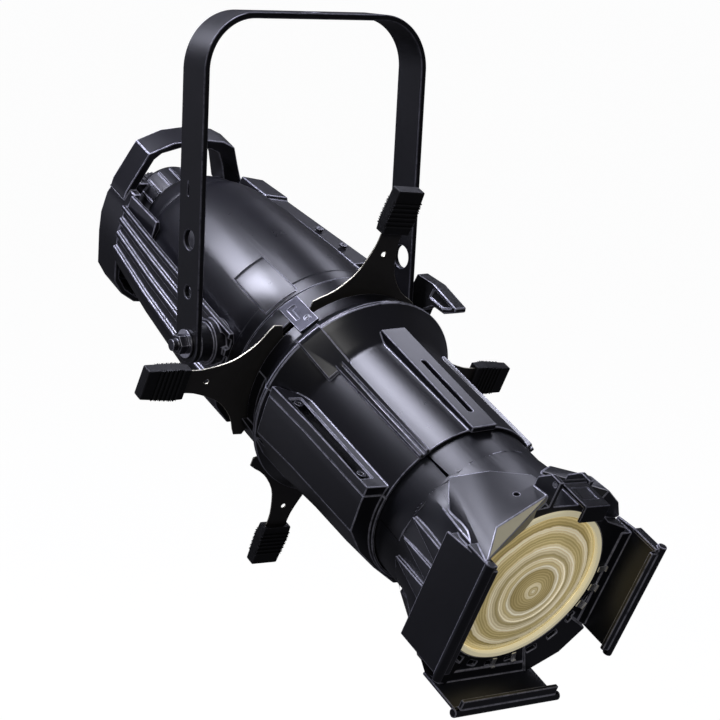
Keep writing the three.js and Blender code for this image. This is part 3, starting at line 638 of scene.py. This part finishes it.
def build_shell():
    inner = [(62.9, 37), (62.9, 34), (76.3, 34), (76.3, 20), (75.2, -10), (72.6, -50), (69.2, -90),
             (65.4, -125),
             (61.4, -150), (55.5, -160), (54, -166)]
    skin = [(58.5, -166), (60.5, -163.4), (62.6, -157), (64.5, -150), (66.6, -138), (68.5, -125),
            (70.5, -108),
            (72.3, -90), (74.1, -70), (75.7, -50), (77.1, -30), (78.3, -10), (79.1, 7), (79.6, 22),
            (80.4, 23.2),
            (81.3, 26), (81.3, 37)]
    spike = lofted([(l, [(-w, 73), (w, 73), (w * 0.35, h), (-w * 0.35, h)])
                    for l, w, h in ((-24, 0.4, 78.2), (0, 1.6, 79.9), (20, 2.8, 81.4), (32, 3.4, 82.4))])
    band = turned([(78, -24), (79.4, -22), (80.9, -17), (81.8, 0), (82.4, 20), (82.4, 34), (78, 34)])
    pad = shaped(band, keep=prism([(-30, 52), (-52.5, 91), (-82.7, 64.6), (-47.3, 36.9)], -30, 37))
    shell = shaped(turned([*skin, *inner]), add=[rolled(spike, 30), rolled(spike, -30), pad])
    piece("lamp_house_shell", "housing", shell, HOUSING, M["barrel"], M["edge"], bevel=0.5,
          cad=["reflector_housing"])


def side_casting(sign):
    def flip(points):
        return points if sign > 0 else mirrored(points)

    ledge = lofted([
        (-186, [(30, 10), (39, 51), (63, 46), (63, 6)]), (-146, [(30, 10), (40, 54), (65, 50), (65, 6)]),
        (-144, [(30, 10), (40, 51), (65, 47), (65, 6)]), (-12, [(30, 10), (41, 61), (68, 62), (68, 6)])])
    shelf = lofted([(l, flip([(46, 6), (46, 17), (60, 19), (62.5, tall), (66, tall), (68, 6)]))
                    for l, tall in ((-195.7, 30), (-147, 31))])
    upper = ledge if sign > 0 else shelf
    teeth = [(50, 13), (76.5, 15), (79.5, 25), (84, 25), (84, 20), (80.5, 19), (80.5, 11), (84, 10),
             (84, 4), (80.5, 3), (80.5, -6), (84, -7),
             (84, -13), (80.5, -14), (80.5, -24), (84, -25), (84, -31), (78, -45), (63, -62), (40, -62)]

    def fins(wide, tall):
        return flip([(x * wide, z * tall) for x, z in teeth])

    block = lofted([(-195.7, fins(0.87, 0.82)), (-120, fins(0.95, 0.95)), (-20, fins(1.02, 1.06)),
                    (22, fins(1.02, 1.04))])
    boss = bar("x", 16, sign * 76, sign * 103.6, 0, 5, 64)
    ring = bar("x", 19, sign * 76, sign * 92, 0, 5, 64)
    hollow = turned([(0, -201), (56.5, -201), (58.8, -164), (0, -164)])
    bore = bar("x", 5.3, sign * 88, sign * 105, 0, 5, 32)
    return shaped(upper, add=[block, boss, ring], cut=[shell_core(0.3), hollow, bore])


def build_castings():
    for side, sign in (("left", -1), ("right", 1)):
        piece(f"fin_casting_{side}", "housing", side_casting(sign), HOUSING, M["cast"],
              M["edge"], bevel=0.9,
              cad=[f"side_casting_{side}"])
    for i, (l, x, z) in enumerate(((-76, 49.8, 55.2), (-42, 52.6, 58.2))):
        head = shaped(bar("z", 3.4, z + 2.2, z + 4.2, x + 4, l, 32),
                      cut=[bar("z", 1.6, z + 3, z + 5, x + 4, l, 6)])
        piece(f"ledge_cap_screw_{i + 1}", "housing", head, HOUSING, M["dark_steel"],
              M["steel"], bevel=0.3,
              cad=[f"ledge_screw_{i + 1}"])


def build_rear():
    rear, front, drop = -232, -196, 8
    left = [(0, -88), (-38, -84), (-53, -74), (-63, -60), (-66, -42), (-69, -26), (-71, -6), (-69, 14),
            (-62, 30)]

    def rim(k, l0, l1):
        side = [(x * k, (z + drop) * k - drop) for x, z in left]
        return prism(side + mirrored(side[1:])[::-1], l0, l1)

    outer = [(-67, 20), (-66, 29), (-51, 66), (-28, 76), (0, 79), (24, 76), (37, 70), (45, 52), (55, 31),
             (66, 20)]
    inner = [(52, 10), (37, 28), (28, 52), (21, 65), (12, 69), (-20, 71), (-38, 66), (-44.5, 60), (-58, 26)]
    ring = shaped(rim(1, rear, front), cut=[rim(0.935, rear - 1, front + 1),
                                            box(-55, 55, rear - 2, front + 2, 0, 90)])
    back = shaped(rim(0.97, rear, rear + 3), cut=[box(-90, 90, rear - 2, rear + 5, 22, 90),
                                                   bar("l", 36, rear - 2, rear + 5, 0, 0, 64)])
    for k in range(7):
        back = shaped(back, cut=[rolled(plan([(-3, rear - 3), (3, rear - 3), (3, rear + 6), (-3, rear + 6)],
                                             42, 58),
                                        90 + 30 * k)])
    cage = shaped(ring, add=[prism(outer + inner, rear, rear + 27), back])
    piece("rear_guard", "housing", cage, HOUSING, M["cast"], M["edge"], bevel=1.0, rounds=3,
          cad=["rear_cage"])

    dome = turned([(57.5, -166.3), (57.2, -171), (56, -175), (54.2, -182), (51, -189.5), (47.6, -195.6),
                   (43, -201),
                   (39, -204.6), (34.5, -207.5), (31.5, -205.5), (40.5, -198), (48, -187.5), (52.8, -174.5),
                   (54.3, -166.3)])
    piece("rear_shell", "housing", dome, HOUSING, M["barrel"], M["edge"], bevel=0.5,
          cad=["rear_dome"])
    mirror = turned([(22, -157), (30, -153.6), (38, -149), (45.6, -141.4), (52, -131), (58.4, -108),
                     (63.5, -80),
                     (66, -55), (67.5, -30), (65.5, -30), (64, -55), (61.5, -80), (56.5, -107),
                     (50.2, -129.5),
                     (44, -139.6), (36.7, -147), (29, -151.6), (21, -154.8)])
    piece("ellipsoid_reflector", "housing", mirror, HOUSING, M["mirror"], bevel=0,
          cad=["reflector"])
    gate = turned([(40, 30.4), (75.8, 30.4), (75.8, 33.6), (40, 33.6)])
    piece("gate_ring", "housing", gate, HOUSING, M["inner"], bevel=0.4, cad=["gate_plate"])


def build_lamp():
    cap = shaped(turned([(0, -246), (25, -246), (28.5, -245), (31.6, -242.2), (33.5, -238), (33.5, -208.4),
                         (31.2, -208.4), (31.2, -238), (11, -240), (11, -207), (0, -207)], 96),
                 cut=[bar("l", 8.6, -247, -243, 15, -13, 40)])
    ribs = [rolled(box(33.0, 34.6, -236, -212, -1.1, 1.1), a) for a in range(0, 360, 20)]
    cap = shaped(cap, add=ribs)
    piece("burner_cap", "lamp", cap, HOUSING, M["cast"], M["edge"], bevel=0.5, cad=["lamp_cap"])
    gland = shaped(turned([(4.5, -255), (7.4, -255), (8.2, -253.4), (8.2, -245), (4.5, -245)], 48),
                   cut=[rolled(box(7.6, 9, -254, -247, -0.5, 0.5), a) for a in range(0, 360, 30)])
    gland.data.transform(Matrix.Translation((15 * MM, 0, -13 * MM)))
    back = moved(bar("l", 5, -249, -245, 0, 0, 24), 15, 0, -13)
    gland = shaped(gland, add=[back])
    piece("cord_gland_boot", "lamp", gland, HOUSING, M["rubber"], bevel=0.3,
          cad=["cord_gland"])
    knob = shaped(bar("l", 9.5, -257, -246.3, 0, 0, 64),
                  cut=[rolled(bar("l", 1.5, -259, -244, 10.1, 0, 16), a) for a in range(0, 360, 24)])
    knob.data.transform(Matrix.Translation((-12 * MM, 0, 9 * MM)))
    piece("burner_screw_head", "lamp_screw", knob, HOUSING, M["grip"], M["grip_painted_edge"],
          bevel=0.4,
          cad=["lamp_knob"])
    piece("burner_socket", "lamp", bar("l", 15, -206.7, -180, 0, 0, 64), HOUSING,
          M["ceramic"], bevel=1.0,
          cad=["lamp_socket"])
    piece("burner_base", "lamp", box(-10, 10, -179.7, -168, -7, 7), HOUSING, M["ceramic"],
          bevel=1.0,
          cad=["lamp_base"])
    bulb = turned([(0, -167.7), (9, -167.7), (9.5, -163), (9.5, -126), (8.8, -121), (7, -117), (3.6, -114),
                   (0, -113)], 48)
    piece("quartz_bulb", "lamp", bulb, HOUSING, M["bulb"], bevel=0, cad=["lamp_bulb"])


# ---------------------------------------------------------------- shutter barrel
SEAM = 12
RAIL_TURN = 6
FOCUS_TURN = 42
OUT = 200


def rib(width, rows):
    half = width / 2
    return lofted([(l, [(-half, z0), (half, z0), (half, z1), (-half, z1)]) for l, z0, z1 in rows])


def barrel_core():
    tube = turned([(62.4, 34.5), (62.4, 41), (84.5, 41), (84.5, 78), (86.4, 81.4), (89.4, 85.6), (92.3, 90),
                   (92.3, 93), (90.6, 94.6), (87.2, 99.4), (84, 104.4), (80.6, 109.6), (77.5, 114),
                   (75, 118), (73.5, 122), (73.5, 237), (71, 237), (71, 117), (80, 96), (80, 45), (58, 45),
                   (58, 34.5)])
    wide = rib(23, [(112, 72, 80.8), (118, 72, 80.5), (240, 72, 77)])
    narrow = rib(9, [(116, 72, 78), (238, 72, 77)])
    groove = rib(2.6, [(114, 75.0, 90), (240, 74.4, 90)])
    saddle = rib(21, [(79, 76, 84), (84, 78, 89), (91, 80, 93.8), (96, 80, 93.2), (124, 72.2, 75.6)])
    narrow_left = shaped(rolled(narrow, 46), cut=[rolled(groove, 46)])
    narrow_right = shaped(rolled(narrow, -46), cut=[rolled(groove, -46)])
    return shaped(tube, add=[rolled(wide, RAIL_TURN), narrow_left, narrow_right, rolled(saddle, 49)])


SKIRT = [(-92, 20), (-92, 4), (-90, -22), (-72, -45), (-50, -63), (-22, -82),
         (22, -82), (50, -63), (72, -45), (90, -22), (92, 4), (92, 20)]


def skirt(inset, start, end):
    rows = [[46, 1.0, 1.04], [92, 1.04, 1.06], [150, 1.0, 1.0], [195, 0.99, 0.98], [233, 0.985, 0.93]]
    rows[0][0], rows[-1][0] = start, end

    def at(l, wide, deep):
        pts = []
        for x, z in SKIRT:
            k = 1 - inset / math.hypot(x, z)
            pts.append((x * wide * k, z if z > 10 else z * deep * k))
        return l, pts

    return lofted([at(*row) for row in rows])


def build_barrel():
    bore = turned([(0, 40), (80, 45), (80, 96), (71, 117), (71, 250), (0, 250)])
    shoulder = [(-OUT, 0), (OUT, 0), (OUT, 101), (91, 101), (73, 114), (-73, 114), (-91, 101), (-OUT, 101)]
    inside = shaped(skirt(3.5, 50, 229), cut=[box(-OUT, OUT, 0, 300, 15, OUT),
                                              box(-OUT, OUT, 0, 118, -37.5, OUT)])
    recess = []
    for s in (-1, 1):
        recess += [box(s * 83.5 - 6, s * 83.5 + 6, 118, 222, 18.7, 21),
                   box(s * 84 - 5, s * 84 + 5, 119, 130, 16.6, 20),
                   box(s * 84 - 5, s * 84 + 5, 210, 221, 16.6, 20)]
    flanged = shaped(skirt(0, 46, 233), cut=[bore, inside, box(-OUT, OUT, 0, 300, 20, OUT),
                                             plan(shoulder, -34, OUT),
                                             *recess])
    whole = shaped(barrel_core(), add=[flanged])
    slots = [rolled(box(-54, 54, 60, 66.6, 30, 130), turn) for turn in (0, 90, 180, 270)]
    focus_slot = rolled(box(-5.5, 5.5, 162, 228, -120, -60), FOCUS_TURN)
    rail_slot = rolled(plan([(-2.4, 157.4), *arc(0, 157.4, 2.4, 180, 360, 10)[1:-1], (2.4, 157.4),
                             (2.4, 219.6),
                             *arc(0, 219.6, 2.4, 0, 180, 10)[1:-1], (-2.4, 219.6)], 60, 90), RAIL_TURN)
    lower = shaped(scratch_copy(whole), cut=[*slots, focus_slot, box(-OUT, OUT, 0, 300, SEAM - 0.15, OUT)])
    upper = shaped(whole, cut=[*slots, rail_slot, box(-OUT, OUT, 0, 300, -OUT, SEAM + 0.15)])
    piece("barrel_upper", "barrel", upper, BARREL, M["barrel"], M["edge"], bevel=0.8,
          cad=["barrel_top"])
    piece("barrel_lower", "barrel", lower, BARREL, M["cast"], M["edge"], bevel=0.9, angle=24,
          cad=["barrel_bottom"])
    badge = shaped(box(-9, 9, 44, 78, 84.9, 86.8), cut=[box(-5, -1.6, 52, 66, 86, 88),
                                                        box(-5, 2, 50.6, 54, 86, 88),
                                                         bar("z", 2.9, 85.6, 88, 3, 70, 32)])
    piece("drum_label_plate", "barrel", shaped(badge), rolled_frame(45), M["plate"],
          M["plate_edge"], bevel=0.4,
          cad=["drum_plate"])
    stud = shaped(bar("z", 2.5, 85.2, 87.0, 3, 70, 32), cut=[box(1.2, 4.8, 69.6, 70.4, 86.4, 88)])
    piece("drum_plate_screw", "barrel", stud, rolled_frame(45), M["dark_steel"], M["steel"],
          bevel=0.3)
    for i, (x, l) in enumerate(((-84, 124.5), (-84, 215.5), (84, 124.5), (84, 215.5))):
        head = shaped(bar("z", 3.6, 16.9, 19.6, x, l, 32), cut=[bar("z", 1.7, 18, 21, x, l, 6)])
        piece(f"seam_screw_{i + 1}", "barrel", head, BARREL, M["dark_steel"], M["steel"],
              bevel=0.35,
              cad=[f"barrel_screw_{i + 1}"])


def rolled_frame(degrees):
    return BARREL @ Matrix.Rotation(math.radians(-degrees), 4, "Y")


# ---------------------------------------------------------------- framing shutters
SHUTTERS = (("top", 0, 0, 13), ("bottom", 180, 1, 0), ("left", 90, 2, 3), ("right", -90, 3, 3))


def is_cut_edge(centre, normal):
    return abs(normal.y) < 0.3


def build_shutters():
    half = [(42, 42), (42, 74), (52, 78), (52, 86), (46, 89.6), (40, 92.5), (34, 96.5), (29, 101),
            (24, 106.5), (20, 112),
            (17, 118), (14.6, 125), (12.6, 132), (11, 139), (10.5, 145), (10.5, 184)]
    outline = half + mirrored(half)[::-1]
    for name, turn, layer, pushed in SHUTTERS:
        start = 60.5 + layer * 1.5
        mid = start + 0.6
        place = rolled_frame(turn) @ Matrix.Translation((0, 0, -pushed * MM))
        blade = shaped(prism(outline, start, start + 1.2),
                       cut=[bar("l", 2.2, start - 1, start + 3, 0, 131, 24)])
        piece(f"shutter_sheet_{name}", f"shutter_{name}", blade, place, M["blade"],
              M["blade_edge"],
              bevel=0.2, rounds=1, cad=[f"shutter_blade_{name}"], paint=(M["blade_edge"], is_cut_edge))
        grip = prism([(-13.5, 151), (13.5, 151), (14.5, 162), (13, 190), (-13, 190), (-14.5, 162)], mid - 5,
                     mid + 5)
        ridges = [box(-20, 20, f, f + 1.2, z, z + 1.4) for z in (158, 162, 166, 170, 174, 178)
                  for f in (mid - 6, mid + 4.8)]
        grip = shaped(grip, cut=[box(-10.8, 10.8, mid - 0.9, mid + 0.9, 150, 184.3), *ridges])
        piece(f"shutter_handle_{name}", f"shutter_{name}", grip, place, M["grip"],
              M["grip_painted_edge"],
              bevel=1.0, rounds=2, cad=[f"shutter_grip_{name}"])


# ---------------------------------------------------------------- lens tube
HOLDER = 87
WING_FRONT = 367
LATCH_HALF = 12
HINGE = 329
OCTAGON = [(-78, 46), (-78, 20), (-78, -20), (-78, -48), (-67, -66), (-48, -79), (-20, -79), (20, -79),
           (48, -79), (67, -66), (78, -48), (78, -20), (78, 20), (78, 46), (54, 54), (38, 66),
           (20, 72), (-20, 72), (-38, 66), (-54, 54)]
CORNERS = [
    [(-51.5, 266, 51.5), (-31, 281, 67), (-6, 298, 74.5), (-11, 325, 79.5), (-69, 340, 64), (-63, 289, 43.5),
     (-75, 312, 31), (-82, 343, 36), (-86, 359, 51)],
    [(51.5, 262, 51.5), (32, 279, 66.5), (8, 294, 74), (42, 310, 79), (45, 328, 79), (62, 328, 67),
     (70, 303, 50),
     (72, 303, 30), (84, 318, 46)],
    [(-51.5, 268, -51.5), (-42, 284, -61), (-30, 300, -69), (-40, 336, -86), (-68, 336, -70), (-63, 286, -42),
     (-70, 303, -30), (-84, 336, -48)],
    [(51.5, 268, -51.5), (42, 284, -61), (30, 300, -69), (40, 336, -86), (68, 336, -70), (63, 286, -42),
     (70, 303, -30), (84, 336, -48)],
]


def fine_octagon(steps=6):
    pts = []
    for (x0, z0), (x1, z1) in zip(OCTAGON, OCTAGON[1:] + OCTAGON[:1]):
        pts += [(x0 + (x1 - x0) * i / steps, z0 + (z1 - z0) * i / steps) for i in range(steps)]
    return pts


def flare_at(l, share, radius, inset=0.0):
    """Outline part-way from round (share 0) to the octagon (share 1)."""
    rows = []
    for x, z in fine_octagon():
        k = radius / math.hypot(x, z)
        ox = x - math.copysign(inset, x)
        oz = z - math.copysign(inset, z)
        rows.append((x * k + (ox - x * k) * share, z * k + (oz - z * k) * share))
    return l, rows


def corner(points):
    inner = []
    for x, l, z in points:
        k = 62 / math.hypot(x, z)
        inner.append((x * k, min(l, 333), z * k))
    return hull(list(points) + inner)


def wing(sign):
    def between(near, far, l0, l1, z0, z1):
        return box(min(sign * near, sign * far), max(sign * near, sign * far), l0, l1, z0, z1)

    outline = [(316, -48), (316, 44), (340, 47), (WING_FRONT - 3, 50), (WING_FRONT - 3, -48)]
    plate = sideways(outline, min(sign * (HOLDER - 2.5), sign * HOLDER),
                     max(sign * (HOLDER - 2.5), sign * HOLDER))
    return [plate, between(75, HOLDER, 316, 334, -46, 42),
            between(77, HOLDER, WING_FRONT - 6, WING_FRONT - 2.5, -46, 46),
            between(HOLDER - 8, HOLDER, 338, WING_FRONT - 3, 47, 50),
            bar("z", 3.6, -51, 52, sign * (HOLDER - 1), WING_FRONT - 4, 24)]


def in_painted_lip_light(centre, normal):
    """Painted light: a pale patch on the inner lip that shows between the upper left corner casting and the
    lens.
    """
    reach = math.hypot(centre.x, centre.z)
    turn = math.degrees(math.atan2(-centre.x, centre.z))
    return -normal.y > 0.45 and 64 < reach < 88 and 5 < turn < 50 and 322 < -centre.y < 342


def build_lens_tube():
    bore = bar("l", 67.5, 164, 340, 0, 0, 128)
    sleeve = shaped(bar("l", 70.3, 165, 266, 0, 0, 128), cut=[bore])
    flare = shaped(lofted([flare_at(264, 0, 70.3), flare_at(272, 0.01, 70.8), flare_at(284, 0.14, 71.2),
                           flare_at(300, 0.47, 72), flare_at(313, 0.82, 72), flare_at(322, 1, 72),
                           flare_at(333, 1, 72)]))
    hollow = shaped(lofted([flare_at(268, 0, 66.5), flare_at(323, 1, 70, 3.4), flare_at(330, 1, 70, 3.4)]),
                    cut=[box(-100, 100, 200, 400, 24, 100)])
    bell = shaped(flare, cut=[hollow, bore])
    collar = turned([(67.5, 262), (70.3, 262), (70.3, 333), (67.5, 333)])
    seat = turned([(61.5, 318), (68.5, 318), (68.5, 321.4), (61.5, 321.4)])
    corners = [shaped(corner(points), cut=[bore]) for points in CORNERS]
    sill = [box(-50, 50, 320, WING_FRONT - 3, -HOLDER - 1.5, -HOLDER + 1),
            box(-46, 46, 320, 334, -HOLDER, -77),
            box(-48, 48, WING_FRONT - 6, WING_FRONT - 2.5, -HOLDER, -77),
            bar("x", 3.6, -53, 53, WING_FRONT - 4, -HOLDER - 0.5, 24)]
    lugs = []
    for sign in (-1, 1):
        x0 = LATCH_HALF + 0.6 if sign > 0 else -LATCH_HALF - 5
        lug = sideways([(312, 66), (312, 84), (322, 93), (333, 93), (333, 66)], x0, x0 + 4.4)
        lugs.append(shaped(lug, cut=[bar("x", 1.6, x0 - 1, x0 + 6, HINGE, 88.8, 24), bore]))
    fins = [lofted([(268, [(-66, tip - 0.6), (-71.6, tip - 0.6), (-71.6, tip + 0.6), (-66, tip + 0.6)]),
                    (321, [(-74, mid - 7.3), (-81.4, mid - 7.3), (-81.4, mid + 7.3), (-74, mid + 7.3)])])
            for tip, mid in ((18, 16.8), (-0.8, 0.2), (-17.4, -16.4))]
    wings = wing(-1) + wing(1)
    windows = [rolled(box(-4.5, 4.5, 326, 336, -75.8, -71.4), turn) for turn in range(-75, 90, 15)]
    tube = shaped(sleeve, add=[bell, collar, seat, *corners, *wings, *lugs, *sill, *fins])
    tube = shaped(tube, cut=[*windows, rolled_hole((-33, 314.5, 70.6), 2.2)])
    # the inner lip's upper left arc takes the cream material, painted light
    piece("lens_tube_casting", "lens_tube_body", tube, BARREL, M["holder"], M["edge"],
          bevel=0.8,
          cad=["lens_tube"], angle=27, crease=27, paint=(M["cream"], in_painted_lip_light))

    steps = [(0, 340), (6, 339.9), (6.4, 339.4), (14, 339.2), (21.5, 338.7), (22.4, 339.3), (24, 339.1),
             (29, 338.2),
             (29.6, 338.7), (37, 337.2), (38.4, 337.6), (44, 335.8), (45, 336.2), (51, 334.1),
             (52.4, 334.4), (57, 332.4),
             (60.5, 331), (62, 330.2), (64.9, 330), (64.9, 321.7), (0, 321.7)]
    piece("stepped_lens", "lens_tube_body", turned(steps), BARREL, M["lens"], bevel=0,
          cad=["front_lens"])
    rim = turned([(62.9, 330.3), (67.0, 330.3), (67.2, 330.8), (67.2, 333.2), (66.6, 334), (63.4, 334),
                  (62.7, 333)])
    piece("lens_retaining_ring", "lens_tube_body", rim, BARREL, M["rim"], bevel=0,
          cad=["lens_ring"])

    for i, (turn, wide) in enumerate(((-83, 5), (-97, 6), (-110, 6), (-163, 4), (-178, 4))):
        clip = shaped(box(-wide / 2, wide / 2, 333.3, 334.6, 69, 77),
                      add=[box(-wide / 2, wide / 2, 333.3, 336, 75.8, 77)])
        piece(f"lens_clip_{i + 1}", "lens_tube_body", clip, rolled_frame(turn), M["clip"],
              bevel=0.3)

    stem = shaped(bar("z", 4, -100, -70.6, 0, 192, 32))
    piece("focus_stud", "lens_tube_body", stem, rolled_frame(FOCUS_TURN), M["steel"],
          bevel=0.4,
          cad=["focus_stem"])
    knob = shaped(bar("z", 12, -116, -97, 0, 0, 64),
                  cut=[bar("z", 4.3, -102, -96, 0, 0, 32), *[spun(bar("z", 1.8, -118, -95, 12.6, 0, 16), a)
                                                             for a in range(0, 360, 24)]])
    knob.data.transform(Matrix.Translation((0, -192 * MM, 0)))
    piece("focus_grip", "focus_knob_body", knob, rolled_frame(FOCUS_TURN), M["grip"],
          M["grip_painted_edge"],
          bevel=0.5, cad=["focus_knob"])

    side = [(HINGE, 88.5), (356, 88.5), (356, 77), (358.4, 77), (358.4, 91), (HINGE, 91)]
    latch = shaped(sideways(side, -LATCH_HALF, LATCH_HALF),
                   add=[bar("x", 3.2, -LATCH_HALF, LATCH_HALF, HINGE, 88.8, 32)],
                   cut=[bar("x", 1.6, -LATCH_HALF - 1, LATCH_HALF + 1, HINGE, 88.8, 24),
                        plan([(-7.5, 336), (7.5, 336), (7.5, 350), (-7.5, 350)], 90.4, 92)])
    piece("frame_latch_plate", "latch", latch, BARREL, M["yoke"], M["plate_edge"], bevel=0.55,
          cad=["frame_latch"])
    pin = bar("x", 1.3, -LATCH_HALF - 4.4, LATCH_HALF + 4.4, HINGE, 88.8, 24)
    piece("latch_hinge_pin", "lens_tube_body", pin, BARREL, M["steel"], bevel=0.2,
          cad=["latch_pin"])


def spun(solid, degrees):
    """Turn about the z axis."""
    c, s = math.cos(math.radians(degrees)), math.sin(math.radians(degrees))
    p = solid[0]
    return np.stack([p[:, 0] * c - p[:, 1] * s, p[:, 0] * s + p[:, 1] * c, p[:, 2]], 1), solid[1]


def rolled_hole(point, radius):
    """Short drill square to the optical axis, through a point (x, l, z)."""
    x, l, z = point
    angle = math.degrees(math.atan2(z, x)) - 90
    reach = math.hypot(x, z)
    return rolled(bar("z", radius, reach - 4, reach + 12, 0, l, 32), angle)


# ---------------------------------------------------------------- stage


FLOOR_DROP = 0.42   # metres below the hanging lantern
FLOOR_REACH = 60.0


def build_stage():
    z = CAD_BOX[0].z - FLOOR_DROP
    mesh = bpy.data.meshes.new("floor")
    r = FLOOR_REACH
    mesh.from_pydata([(-r, -r, z), (r, -r, z), (r, r, z), (-r, r, z)], [], [(0, 1, 2, 3)])
    floor = bpy.data.objects.new("floor", mesh)
    SCENE.collection.objects.link(floor)
    n = Nodes("pale_floor")
    n.link(n.ramp(n.noise(3.0, 2.0), [(0.3, (0.07, 0.07, 0.07)), (0.7, (0.08, 0.08, 0.08))]),
           n.shader.inputs["Base Color"])
    n.set(Roughness=0.9, Specular_IOR_Level=0.1)
    n.shader.inputs["Emission Color"].default_value = (1, 1, 1, 1)
    n.shader.inputs["Emission Strength"].default_value = FLOOR_GLOW
    floor.data.materials.append(n.material)
    floor.visible_glossy = False
    floor.visible_diffuse = False

    world = bpy.data.worlds.new("studio")
    SCENE.world = world
    world.use_nodes = True
    tree = world.node_tree
    back = tree.nodes["Background"]
    coords = tree.nodes.new("ShaderNodeTexCoord")
    split = tree.nodes.new("ShaderNodeSeparateXYZ")
    ramp = tree.nodes.new("ShaderNodeValToRGB")
    ramp.color_ramp.elements[0].position = 0.0
    ramp.color_ramp.elements[0].color = (0.05, 0.05, 0.06, 1)
    ramp.color_ramp.elements[1].position = 0.75
    ramp.color_ramp.elements[1].color = (0.07, 0.07, 0.085, 1)
    mid = ramp.color_ramp.elements.new(0.3)
    mid.color = (0.09, 0.09, 0.105, 1)
    tree.links.new(coords.outputs["Generated"], split.inputs[0])
    tree.links.new(split.outputs["Z"], ramp.inputs["Fac"])
    tree.links.new(ramp.outputs["Color"], back.inputs["Color"])
    back.inputs["Strength"].default_value = 1.0


def softbox(name, direction, distance, size, power, colour=(1, 1, 1), target=(0, -0.08, -0.25)):
    data = bpy.data.lights.new(name, "AREA")
    data.shape = "RECTANGLE"
    data.size, data.size_y = size
    data.energy = power
    data.color = colour
    lamp = bpy.data.objects.new(name, data)
    SCENE.collection.objects.link(lamp)
    d = Vector(direction).normalized()
    lamp.location = Vector(target) + d * distance
    lamp.rotation_mode = "QUATERNION"
    lamp.rotation_quaternion = d.to_track_quat("Z", "Y")
    return lamp


FLOOR_GLOW = 0.97
LILAC = (0.82, 0.83, 1.0)


def build_lights():
    softbox("key_top", (-0.26, 0.36, 0.89), 2.0, (0.62, 1.0), 16, LILAC)
    softbox("barrel_stripe", (-0.03, 0.33, 0.94), 0.7, (0.22, 0.42), 2.4, LILAC, (-0.04, -0.20, -0.28))
    softbox("shell_stripe", (-0.50, 0.39, 0.78), 0.6, (0.16, 0.22), 2.4, LILAC, (-0.03, 0.08, -0.20))
    softbox("top_right", (0.60, 0.42, 0.68), 2.4, (0.7, 0.7), 6, LILAC)
    softbox("low_left", (-0.66, 0.74, -0.05), 2.0, (0.8, 0.8), 1.2, LILAC)
    softbox("front_soft", (-0.45, -0.85, 0.55), 2.6, (1.4, 1.0), 12, (1, 0.99, 0.97))


def build_camera():
    data = bpy.data.cameras.new("camera")
    cam = bpy.data.objects.new("camera", data)
    SCENE.collection.objects.link(cam)
    SCENE.camera = cam
    data.lens = 90.13
    data.sensor_width = 36
    right = Vector((0.80919864, -0.58539275, 0.05012871))
    up = Vector((0.09375667, 0.21288508, 0.97256857))
    back = Vector((-0.58000625, -0.78230126, 0.22715079))
    cam.matrix_world = axes_matrix(right, up, back, PIVOT + Vector((-0.84281, -1.22724, 0.32566)))


build_camera()
build_yoke()
build_lever()
build_shell()
build_castings()
build_rear()
build_lamp()
build_barrel()
build_shutters()
build_lens_tube()
build_stage()
build_lights()

SCENE.view_settings.view_transform = "Standard"
